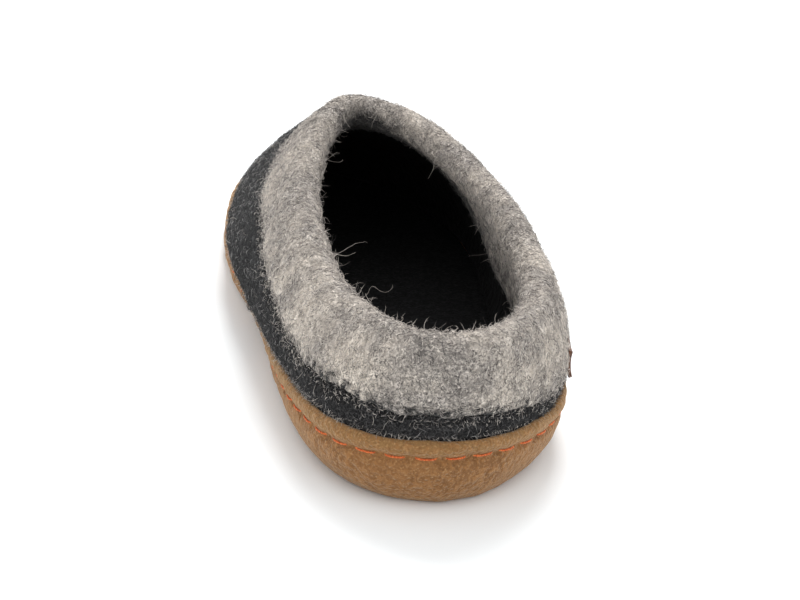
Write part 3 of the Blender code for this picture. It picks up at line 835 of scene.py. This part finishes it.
def wool_tone(points):
    """How pale the mixed wool is, from 0, dark, to 1, cream: broad clouds, patches and small blots."""
    tone = WOOL_MIDDLE_TONE + waves(points, WOOL_TONES)
    for middle, (_, _, _, size, paler) in zip(cloud_places, WOOL_CLOUDS):
        tone = tone + paler * np.exp(-((points - middle)**2).sum(axis=-1) / size**2)
    return np.clip(tone, 0, 1)


from_edge = np.clip(row_number / sum(FACE_STEPS[:3]), 0, 1)[:, None] + 0 * calm
collar_marks = {"inside": goes_in, "tone": wool_tone(collar_skin), "from_edge": from_edge}
felt_collar = wrap("felt_collar", collar_skin, loop=True, marks=collar_marks)

WOOL_DARK = (0.070, 0.065, 0.062, 1)
WOOL_GREY = (0.42, 0.380, 0.350, 1)
WOOL_PALE = (0.76, 0.68, 0.59, 1)
WOOL_HAIR = (0.84, 0.77, 0.69, 1)
wool, tree, shader, place = new_material("grey_felt", 0.95, 0.25, (1.0, 0.98, 0.95, 1))
tone = mark_of(tree, "tone")
colour = blended(tree, between(tree, tone, 0.25, 0.85), WOOL_GREY, WOOL_PALE)
speckle = cloudy(tree, place, 0.0006, 2.0)
# Dark specks: partly the dark hairs of the mix, partly painted shade in the sunk pits under the hairs.
pits = between(tree, speckle, 0.50, 0.66)
blots = between(tree, cloudy(tree, place, 0.0050, 3.0, 0.4), 0.45, 0.70, 0.35, 1.0)
colour = blended(tree, maths(tree, "MULTIPLY", pits, blots), colour, WOOL_DARK)
lines = fibre_lines(tree, place, 0.045, 0.035)
colour = blended(tree, maths(tree, "MULTIPLY", lines, 0.35), colour, WOOL_HAIR)
colour = blended(tree, between(tree, speckle, 0.48, 0.30, 0.0, 0.7), colour, WOOL_HAIR)
tufts = between(tree, cloudy(tree, place, 0.0025, 4.0), 0.3, 0.7, -0.4, 0.4)
feather = maths(tree, "ADD", mark_of(tree, "from_edge"), tufts)
colour = blended(tree, between(tree, feather, -0.15, 0.50), CHARCOAL, colour)
# Deep on the inner side the wool is blended to dark charcoal with a ragged edge: partly the lining wool,
# partly painted shade.
wander = between(tree, cloudy(tree, place, 0.006, 4.0, 0.5), 0.3, 0.7, -0.22, 0.22)
ragged = maths(tree, "ADD", mark_of(tree, "inside"), wander)
colour = blended(tree, between(tree, ragged, 0.30, 0.95), colour, CHARCOAL_DEEP)
tree.links.new(colour, shader.inputs["Base Color"])
emboss(tree, shader, ((pits, -0.0003), (lines, 0.0002)))
felt_collar.data.materials.append(wool)
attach(felt_collar, BODY)
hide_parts("collar")

# Sole seam
# One round of running stitch in orange thread, two plies twisted together, sewn by hand through the suede and
# the felt. The thread lies in the groove and dives into the suede at both ends of each stitch.
THREAD_PLY = 0.00020
THREAD_ORBIT = 0.00017
THREAD_TWIST = 0.0013
THREAD_RISE = 0.00022
THREAD_DIVE = 0.0011
THREAD_ROW = FLOOR_ROWS + GROOVE_ROW + 0.2
THREAD_SLANT = 0.5
STITCH_VARIES = 0.08
STITCH_POINTS = 19


def read_grid(values, row, across):
    """Values of a grid of rings at places between its rows and columns."""
    low = np.clip(np.floor(row).astype(int), 0, len(values) - 2)
    left = np.floor(across).astype(int)
    up, right = (row - low)[:, None], (across - left)[:, None]
    left = left % values.shape[1]
    beside = (left + 1) % values.shape[1]
    lower = values[low, left] * (1 - right) + values[low, beside] * right
    upper = values[low + 1, left] * (1 - right) + values[low + 1, beside] * right
    return lower * (1 - up) + upper * up


def strand_mesh(name, paths, ups, radii, sides, shade, material):
    """Many thin closed tubes as one joined mesh. Each runs along its path and is pointed at both ends."""
    count, points = paths.shape[:2]
    along = unit(np.gradient(paths, axis=1))
    beside = unit(np.cross(along, ups))
    above = np.cross(beside, along)
    angles = np.arange(sides) / sides * 2 * math.pi
    spokes = above[:, :, None] * np.cos(angles)[:, None] + beside[:, :, None] * np.sin(angles)[:, None]
    rings = paths[:, 1:-1, None] + spokes[:, 1:-1] * radii[:, 1:-1, None, None]
    tube = np.concatenate([paths[:, :1], rings.reshape(count, -1, 3), paths[:, -1:]], axis=1)
    each = tube.shape[1]
    faces = []
    for spoke in range(sides):
        after = (spoke + 1) % sides
        faces.append((0, 1 + after, 1 + spoke, 1 + spoke))
        for ring in range(points - 3):
            base = 1 + sides * ring
            faces.append((base + spoke, base + after, base + sides + after, base + sides + spoke))
        base = 1 + sides * (points - 3)
        faces.append((each - 1, base + spoke, base + after, base + after))
    faces = (np.array(faces)[None] + each * np.arange(count)[:, None, None]).reshape(-1, 4)
    tidy = [tuple(face[:3]) if face[2] == face[3] else tuple(face) for face in faces.tolist()]
    data = bpy.data.meshes.new(name)
    data.from_pydata(tube.reshape(-1, 3), [], tidy)
    data.attributes.new("shade", "FLOAT", "POINT").data.foreach_set("value", np.repeat(shade, each))
    data.shade_smooth()
    data.materials.append(material)
    return placed(name, data)


sole_facing = outward(sole_skin)
if (sole_facing[FLOOR_ROWS + GROOVE_ROW] * sole_last.out).sum() < 0:
    sole_facing = -sole_facing
random = np.random.default_rng(7)
passed = np.linspace(0, 1, STITCH_POINTS)
middles = (np.arange(STITCHES) * pitch)[:, None]
spans = STITCH_LENGTH * random.uniform(1 - STITCH_VARIES, 1 + STITCH_VARIES, (STITCHES, 1))
walk = (middles + spans * (passed - 0.5)) % groove_length
across = np.interp(walk, np.append(walked, groove_length), np.arange(SOLE_COLUMNS + 1))
slant = random.uniform(-THREAD_SLANT, THREAD_SLANT, (STITCHES, 1)) * (passed - 0.5)
row = THREAD_ROW + slant + 0 * across
groove_places = read_grid(sole_skin, row.ravel(), across.ravel()).reshape(STITCHES, STITCH_POINTS, 3)
groove_ups = unit(read_grid(sole_facing, row.ravel(), across.ravel())).reshape(STITCHES, STITCH_POINTS, 3)
rise = THREAD_RISE - THREAD_DIVE * np.abs(2 * passed - 1)**4
core = groove_places + groove_ups * rise[:, None]
core_along = unit(np.gradient(core, axis=1))
core_beside = unit(np.cross(core_along, groove_ups))
turn = (spans * passed / THREAD_TWIST * 2 * math.pi + random.uniform(0, 6, (STITCHES, 1)))[:, :, None]
plies = []
for phase in (0, math.pi):
    orbit = groove_ups * np.cos(turn + phase) + core_beside * np.sin(turn + phase)
    plies.append(core + orbit * THREAD_ORBIT)
plies = np.concatenate(plies)
ply_ups = np.concatenate([groove_ups, groove_ups])
ply_radii = np.full(plies.shape[:2], THREAD_PLY)

THREAD_SHADED = (0.48, 0.085, 0.022, 1)
THREAD_HIGHLIT = (0.80, 0.20, 0.055, 1)
thread, tree, shader, place = new_material("orange_thread", 0.55, 0.2, (1.0, 0.7, 0.5, 1))
# The thread's orange runs in small blotches from a shaded deep red to a bright orange: painted shade and
# highlight of the twisted plies.
painted_twist_light = between(tree, cloudy(tree, place, 0.0006, 3.0), 0.35, 0.65)
tree.links.new(blended(tree, painted_twist_light, THREAD_SHADED, THREAD_HIGHLIT), shader.inputs["Base Color"])
emboss(tree, shader, ((cloudy(tree, place, 0.00025, 2.0), 0.00006),))
ply_shade = random.uniform(0, 1, len(plies))
sole_stitches = strand_mesh("sole_stitches", plies, ply_ups, ply_radii, 6, ply_shade, thread)
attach(sole_stitches, BODY)

# Side tab
# A small plain rectangle of brown leather, about 1 mm thick with skived edges. It is stuck on the outer side
# of the collar, and its corners curl a little away from the felt.
TAB_START = 0.090
TAB_END = 0.130
TAB_TOP = 0.0190
TAB_BOTTOM = 0.0270
TAB_THICKNESS = 0.0012
TAB_BEDDED = 0.0002
TAB_CURL = 0.0008
TAB_SKIVE = 0.0003
TAB_ALONG = 40
TAB_UP = 16
tab_last = Last(np.linspace(TAB_START, TAB_END, TAB_ALONG + 1))
to_end = np.abs(np.linspace(-1, 1, TAB_ALONG + 1))
mesh = bmesh.new()
bmesh.ops.create_grid(mesh, x_segments=TAB_ALONG, y_segments=TAB_UP, size=1)
tab_rows = []
for high in np.linspace(0, 1, TAB_UP + 1):
    curl = TAB_CURL * to_end**6 * (2 * high - 1)**2
    lift = COLLAR_FACE + TAB_THICKNESS - TAB_BEDDED + curl[:, None]
    tab_rows.append(tab_last.deep(TAB_BOTTOM + (TAB_TOP - TAB_BOTTOM) * high, lift))
tab_rows = creased(np.stack(tab_rows)) + TO_FRAME
for vertex in mesh.verts:
    across = round((vertex.co.x + 1) / 2 * TAB_ALONG)
    up = round((vertex.co.y + 1) / 2 * TAB_UP)
    vertex.co = tab_rows[up, across]
leather_tab = mesh_piece("leather_tab", mesh)
wall = leather_tab.modifiers.new("thickness", "SOLIDIFY")
wall.thickness = TAB_THICKNESS
wall.offset = -1
skive = leather_tab.modifiers.new("skived edge", "BEVEL")
skive.width = TAB_SKIVE
skive.segments = 3
skive.limit_method = "ANGLE"
LEATHER_DARK = (0.055, 0.020, 0.010, 1)
LEATHER_BROWN = (0.16, 0.062, 0.028, 1)
leather, tree, shader, place = new_material("tab_leather", 0.5, 0.0, (1, 1, 1, 1))
shader.inputs["Specular IOR Level"].default_value = 0.4
worn = between(tree, cloudy(tree, place, 0.003, 4.0), 0.3, 0.7)
tree.links.new(blended(tree, worn, LEATHER_DARK, LEATHER_BROWN), shader.inputs["Base Color"])
emboss(tree, shader, ((pebbled(tree, place, 0.0007), 0.00012),))
leather_tab.data.materials.append(leather)
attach(leather_tab, BODY)
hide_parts("side_tab")

# Wool hairs
# The loose fibres of both felts. Most lie curled on the surface, some stand off it, and pale ones cross the
# ragged line between collar and charcoal. Each is a thin pointed tube, and the tubes of a field are one mesh.
HAIR_POINTS = 4
HAIR_RADIUS = (0.00005, 0.00009)
HAIR_CURL = 450
HAIR_WOBBLE = 0.3
HAIR_WAVE = 0.3
HAIR_SUNK = 0.00005
EDGE_SHORTER = 0.5
EDGE_FADE_ROWS = 8
MOST_ROWS_A_STEP = 12
LOOSE_RADIUS = 0.00005
LOOSE_CURL = 0.48
LOOSE_WOBBLE = 0.14
LOOSE_ROOT = 0.0003
ABOVE_FLOOR = 0.0004


def grid_steps(grid):
    """The way from each point of a grid of rings to the next row, and to the next column."""
    row_steps = np.diff(grid, axis=0, append=grid[-1:])
    row_steps[-1] = row_steps[-2]
    return row_steps, np.roll(grid, -1, axis=1) - grid


def hair_roots(grid, wanted, count, random):
    """Places on a grid of rings, spread by area and thicker where wanted is high."""
    rows, columns = grid.shape[:2]
    row_steps, column_steps = grid_steps(grid)
    area = np.linalg.norm(np.cross(row_steps, column_steps), axis=2)
    chance = (area * wanted).ravel()
    cells = random.choice(rows * columns, size=count, p=chance / chance.sum())
    return cells // columns + random.random(count), cells % columns + random.random(count)


def lay_hairs(name, grid, rows_of, wanted, count, seed, length, lift, shade_at, material):
    """Curly hairs that start all over a grid of rings and follow its surface."""
    random = np.random.default_rng(seed)
    facing = outward(grid)
    row_steps, column_steps = grid_steps(grid)
    row, across = hair_roots(grid, wanted, count, random)
    heading = random.uniform(0, 2 * math.pi, count)
    bend = random.normal(0, HAIR_CURL, count)
    old_row = read_grid(rows_of[:, :, None], np.clip(row, 0, len(grid) - 1.001), across)[:, 0]
    cut_short = 1 - EDGE_SHORTER * np.exp(-((old_row - EDGE_ROW) / EDGE_FADE_ROWS)**2)
    step = random.uniform(*length, count) * cut_short / (HAIR_POINTS - 1)
    top = lift[0] + (lift[1] - lift[0]) * random.random(count)**3
    spread = random.uniform(0.55, 0.95, count)
    paths = np.empty((count, HAIR_POINTS, 3))
    ups = np.empty_like(paths)
    for point in range(HAIR_POINTS):
        row = np.clip(row, 0, len(grid) - 1.001)
        normal = unit(read_grid(facing, row, across))
        share = point / (HAIR_POINTS - 1)
        height = top * np.sin(math.pi * np.clip(0.08 + share * spread, 0, 1)) - HAIR_SUNK
        height = height + top * HAIR_WAVE * np.sin(6.3 * spread + 2.3 * point)
        paths[:, point] = read_grid(grid, row, across) + normal * height[:, None]
        ups[:, point] = normal
        if point == 0:
            shade = shade_at(paths[:, 0], old_row, random)
        row_way = read_grid(row_steps, row, across)
        column_way = read_grid(column_steps, row, across)
        beside = unit(column_way)
        above = unit(np.cross(normal, beside))
        move = (above * np.cos(heading)[:, None] + beside * np.sin(heading)[:, None]) * step[:, None]
        climbed = (move * above).sum(axis=1) / (row_way * above).sum(axis=1)
        climbed = np.clip(climbed, -MOST_ROWS_A_STEP, MOST_ROWS_A_STEP)
        slid = (move * beside).sum(axis=1) - climbed * (row_way * beside).sum(axis=1)
        row = row + climbed
        across = across + slid / np.linalg.norm(column_way, axis=1)
        heading = heading + bend * step + random.normal(0, HAIR_WOBBLE, count)
    swell = np.sin(np.linspace(0.5, math.pi - 0.5, HAIR_POINTS))
    radii = random.uniform(*HAIR_RADIUS, count)[:, None] * swell
    return strand_mesh(name, paths, ups, radii, 3, shade, material)


def stand_hairs(name, grid, rows_of, wanted, count, seed, length, upright, droop, shade_at, material, points):
    """Loose hairs that start on a grid of rings, stand off it and curl in the air."""
    random = np.random.default_rng(seed)
    facing = outward(grid)
    row, across = hair_roots(grid, wanted, count, random)
    row = np.clip(row, 0, len(grid) - 1.001)
    normal = unit(read_grid(facing, row, across))
    root = read_grid(grid, row, across) - normal * LOOSE_ROOT
    aside = unit(np.cross(normal, random.normal(0, 1, (count, 3))))
    direction = unit(normal * random.uniform(*upright, count)[:, None] + aside - np.array([0, 0, droop]))
    axis = unit(random.normal(0, 1, (count, 3)))
    turn = (random.normal(0, LOOSE_CURL, count) * (1 + random.random(count)))[:, None]
    step = (length[0] + (length[1] - length[0]) * random.random(count)**2.2)[:, None] / (points - 1)
    paths = np.empty((count, points, 3))
    paths[:, 0] = root
    for point in range(1, points):
        paths[:, point] = paths[:, point - 1] + direction * step
        wobble = random.normal(0, LOOSE_WOBBLE, (count, 3))
        direction = unit(direction + np.cross(axis, direction) * turn + wobble)
        axis = unit(axis + random.normal(0, 0.25, (count, 3)))
    paths[:, :, 2] = np.maximum(paths[:, :, 2], ABOVE_FLOOR)
    ups = np.repeat(normal[:, None], points, axis=1)
    radii = LOOSE_RADIUS * random.uniform(0.8, 1.4, count)[:, None] * np.linspace(1.0, 0.55, points)
    old_row = read_grid(rows_of[:, :, None], row, across)[:, 0]
    return strand_mesh(name, paths, ups, radii, 3, shade_at(root, old_row, random), material)


def hair_material(name, dark, middle, pale):
    material, tree, shader, _ = new_material(name, 0.7, 0.2, (1, 1, 1, 1))
    shade = mark_of(tree, "shade")
    colour = blended(tree, between(tree, shade, 0.0, 0.5), dark, middle)
    colour = blended(tree, between(tree, shade, 0.5, 1.0), colour, pale)
    tree.links.new(colour, shader.inputs["Base Color"])
    return material


def even_rows(grid, count):
    """A grid's columns read again at even steps, with the old row number of each new point."""
    walked = np.cumsum(np.linalg.norm(np.diff(grid, axis=0), axis=2), axis=0)
    walked = np.concatenate([np.zeros((1, grid.shape[1])), walked])
    even = np.empty((count, *grid.shape[1:]))
    numbers = np.empty((count, grid.shape[1]))
    for i in range(grid.shape[1]):
        wanted = np.linspace(0, walked[-1, i], count)
        numbers[:, i] = np.interp(wanted, walked[:, i], np.arange(len(grid)))
        for axis in range(3):
            even[:, i, axis] = np.interp(wanted, walked[:, i], grid[:, i, axis])
    return even, numbers


# Both felts are one field for the hairs: the charcoal band, then the collar's face, crest and inner side.
FIELD_ROWS = 200
band = felt_rings[BAND_START:BAND_END - 1]
EDGE_ROW = len(band)
CREST_ROW = EDGE_ROW + (CREST_START + CREST_END) // 2
INNER_ROW = EDGE_ROW + CREST_END
LAST_ROW = EDGE_ROW + COLLAR_SHOWN - 1
field, field_rows = even_rows(np.concatenate([band, collar_skin[1:COLLAR_SHOWN]]), FIELD_ROWS)
GREY_HAIR_MIDDLE = (0.54, 0.488, 0.445, 1)
GREY_HAIR_PALE = (0.92, 0.85, 0.765, 1)
CHARCOAL_HAIR_MIDDLE = (0.032, 0.032, 0.033, 1)
CHARCOAL_HAIR_PALE = (0.40, 0.385, 0.375, 1)
grey_hair = hair_material("grey_wool_hair", WOOL_DARK, GREY_HAIR_MIDDLE, GREY_HAIR_PALE)
charcoal_hair = hair_material("charcoal_wool_hair", CHARCOAL_DEEP, CHARCOAL_HAIR_MIDDLE, CHARCOAL_HAIR_PALE)
PALE_CHARCOAL_SHARE = 0.25
GREY_MIDDLE = 0.24
GREY_FROM_TONE = 0.52
GREY_SPREAD = 0.27
DARK_GREY_SHARE = 0.12
DARK_GREY = 0.35
SUNK_SPREAD = 0.12


def grey_shade(places, row, random):
    """Shade of each grey hair from the cloud of wool that it lies in, darker deep in the opening: partly the
    lining wool, partly painted shade.
    """
    varied = random.normal(0, GREY_SPREAD, len(places))
    grey = np.clip(GREY_MIDDLE + GREY_FROM_TONE * wool_tone(places) + varied, 0, 1)
    grey = np.where(random.random(len(places)) < DARK_GREY_SHARE, DARK_GREY * grey, grey)
    # Hairs deep in the opening and under the throat are darkened: partly the dark lining wool, partly painted
    # shade.
    sunk = np.clip((row - INNER_ROW + painted_shade_rows(places)) / (LAST_ROW - INNER_ROW), 0, 1)
    sunk = np.where(row < CREST_ROW - 4, 0, sunk)
    darkened = 1.5 * sunk - 0.25 + random.normal(0, SUNK_SPREAD, len(places))
    return grey * (1 - np.clip(darkened, 0, 0.99))


def charcoal_shade(places, row, random):
    pale = random.random(len(places)) < PALE_CHARCOAL_SHARE
    return np.where(pale, random.uniform(0.55, 1.0, len(places)), random.uniform(0.0, 0.35, len(places)))


FACE_END_ROW = CREST_ROW + 6
on_band = np.where(field_rows < EDGE_ROW, 1.0, 0.0)
on_face = np.where((field_rows >= EDGE_ROW) & (field_rows < FACE_END_ROW), 1.0, 0.0)
on_inside = np.where(field_rows >= FACE_END_ROW, 1.0, 0.0)
# No hairs grow under the tab.
TAB_CLEAR = 0.0024
TAB_MARGIN = 6
from_tab = tab_rows.reshape(-1, 3)[::5]
first_column = round(TAB_START * FELT_COLUMNS) - TAB_MARGIN
last_column = round(TAB_END * FELT_COLUMNS) + TAB_MARGIN
tab_columns = slice(first_column, last_column + 1)
apart = np.linalg.norm(field[:, tab_columns, None] - from_tab, axis=3).min(axis=2)
bare = np.ones(field.shape[:2])
bare[:, tab_columns] = np.where(apart > TAB_CLEAR, 1.0, 0.0)
near_edge = np.exp(-((field_rows - EDGE_ROW - 1) / 3)**2)
# Each field's name, where its hairs are wanted, how many, its seed, and their lengths and heights.
HAIR_FIELDS = (
    ("collar_hairs_first", on_face + 0.5 * near_edge, 16000, 11, (0.0018, 0.0042), (0.00015, 0.0009)),
    ("collar_hairs_second", on_face + 0.5 * near_edge, 14000, 12, (0.0016, 0.0036), (0.00020, 0.0011)),
    ("collar_hairs_inside", on_inside, 5500, 13, (0.0018, 0.0040), (0.00010, 0.0009)),
    ("charcoal_hairs", on_band + 0.6 * near_edge, 15000, 14, (0.0018, 0.0038), (0.00015, 0.0010)),
)
for name, wanted, count, seed, length, lift in HAIR_FIELDS:
    dark = name == "charcoal_hairs"
    shade_at, finish = (charcoal_shade, charcoal_hair) if dark else (grey_shade, grey_hair)
    hairs = lay_hairs(name, field, field_rows, wanted * bare, count, seed, length, lift, shade_at, finish)
    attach(hairs, BODY)

# Loose hairs that stand off: thick just inside the crest, sparse elsewhere, short at the suede's edge.
RIM_ROWS_IN = 6
HEEL_ROWS_BACK = 4
HEEL_REACH = 0.13
RIM_SPREAD = 2.5
LOOSE_ANYWHERE = 0.05
LOOSE_ON_RIM = 2.2
LOOSE_AT_EDGE = 0.15
EDGE_SPREAD = 5
SUEDE_ROW = 2.8
SUEDE_SPREAD = 1.4
from_heel = np.minimum(felt_last.shares, 1 - felt_last.shares)
top_row = field_rows[field[:, :, 2].argmax(axis=0), np.arange(FELT_COLUMNS)]
rim_row = top_row + RIM_ROWS_IN - HEEL_ROWS_BACK * np.exp(-(from_heel / HEEL_REACH)**2)
on_rim = np.exp(-((field_rows - rim_row) / RIM_SPREAD)**2)
at_edge = np.exp(-((field_rows - EDGE_ROW) / EDGE_SPREAD)**2)
loose_wanted = LOOSE_ANYWHERE + LOOSE_ON_RIM * on_rim + LOOSE_AT_EDGE * at_edge
at_suede = np.exp(-((field_rows - SUEDE_ROW) / SUEDE_SPREAD)**2)


def pale_shade(places, row, random):
    return np.clip(0.50 + random.normal(0, 0.3, len(places)), 0.0, 1)


# Each field's name, where its hairs are wanted, how many, its seed, their lengths, how upright they start,
# how they droop, and the points of each.
LOOSE_FIELDS = (
    ("loose_hairs", loose_wanted, 3000, 21, (0.0010, 0.0060), (0.2, 1.2), 0.0, 6),
    ("long_hairs", on_rim, 40, 22, (0.010, 0.022), (0.3, 1.2), 0.0, 16),
    ("suede_edge_hairs", at_suede, 2200, 23, (0.0014, 0.0032), (0.6, 1.8), 0.7, 4),
)
for name, wanted, count, seed, length, upright, droop, points in LOOSE_FIELDS:
    look = (pale_shade, grey_hair, points)
    hairs = stand_hairs(name, field, field_rows, wanted * bare, count, seed, length, upright, droop, *look)
    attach(hairs, BODY)

# Studio
# A pale floor, an even white surround, and one soft square light high beyond the toe, to the outer side.
# The camera stands behind the heel and above it, a little to the inner side, and is rolled a few degrees.
CAMERA_TARGET = (0.00335, 0.10129, 0.01899)
CAMERA_AZIMUTH = -12.62
CAMERA_ELEVATION = 22.17
CAMERA_ROLL = 5.48
CAMERA_DISTANCE = 0.47130
CAMERA_LENS = 63.0
FLOOR_SIZE = 6.0
FLOOR_COLOUR = (0.955, 0.978, 0.988, 1)
SURROUND_STRENGTH = 1.05

mesh = bmesh.new()
bmesh.ops.create_grid(mesh, x_segments=2, y_segments=2, size=FLOOR_SIZE / 2)
data = bpy.data.meshes.new("floor")
mesh.to_mesh(data)
mesh.free()
floor = placed("floor", data)
paper, tree, shader, place = new_material("white_paper", 0.9, 0.0, (1, 1, 1, 1))
shader.inputs["Base Color"].default_value = FLOOR_COLOUR
floor.data.materials.append(paper)

world = bpy.data.worlds.new("white surround")
world.use_nodes = True
surround = world.node_tree.nodes["Background"]
surround.inputs["Color"].default_value = (1, 1, 1, 1)
surround.inputs["Strength"].default_value = SURROUND_STRENGTH
bpy.context.scene.world = world
bpy.context.scene.view_settings.view_transform = "Standard"

KEY_PLACE = Vector((0.22, 0.90, 1.20))
KEY_SIZE = 0.6
KEY_POWER = 20.0
lamp = bpy.data.lights.new("soft box", "AREA")
lamp.shape = "SQUARE"
lamp.size = KEY_SIZE
lamp.energy = KEY_POWER
key = placed("soft box", lamp)
key.location = KEY_PLACE
key.rotation_mode = "QUATERNION"
key.rotation_quaternion = (-KEY_PLACE).to_track_quat("-Z", "Y")

azimuth, elevation = math.radians(CAMERA_AZIMUTH), math.radians(CAMERA_ELEVATION)
back = Vector((
    math.sin(azimuth) * math.cos(elevation),
    -math.cos(azimuth) * math.cos(elevation),
    math.sin(elevation),
))
level = Vector((0, 0, 1)).cross(back).normalized()
upward = back.cross(level)
roll = math.radians(CAMERA_ROLL)
camera_x = level * math.cos(roll) + upward * math.sin(roll)
camera_y = upward * math.cos(roll) - level * math.sin(roll)
lens = bpy.data.cameras.new("camera")
lens.lens = CAMERA_LENS
lens.sensor_width = 36.0
lens.clip_start = 0.01
lens.clip_end = 20.0
camera = placed("camera", lens)
turned = Matrix((camera_x, camera_y, back)).transposed().to_4x4()
turned.translation = Vector(CAMERA_TARGET) + Vector(TO_FRAME) + back * CAMERA_DISTANCE
camera.matrix_world = turned
bpy.context.scene.camera = camera
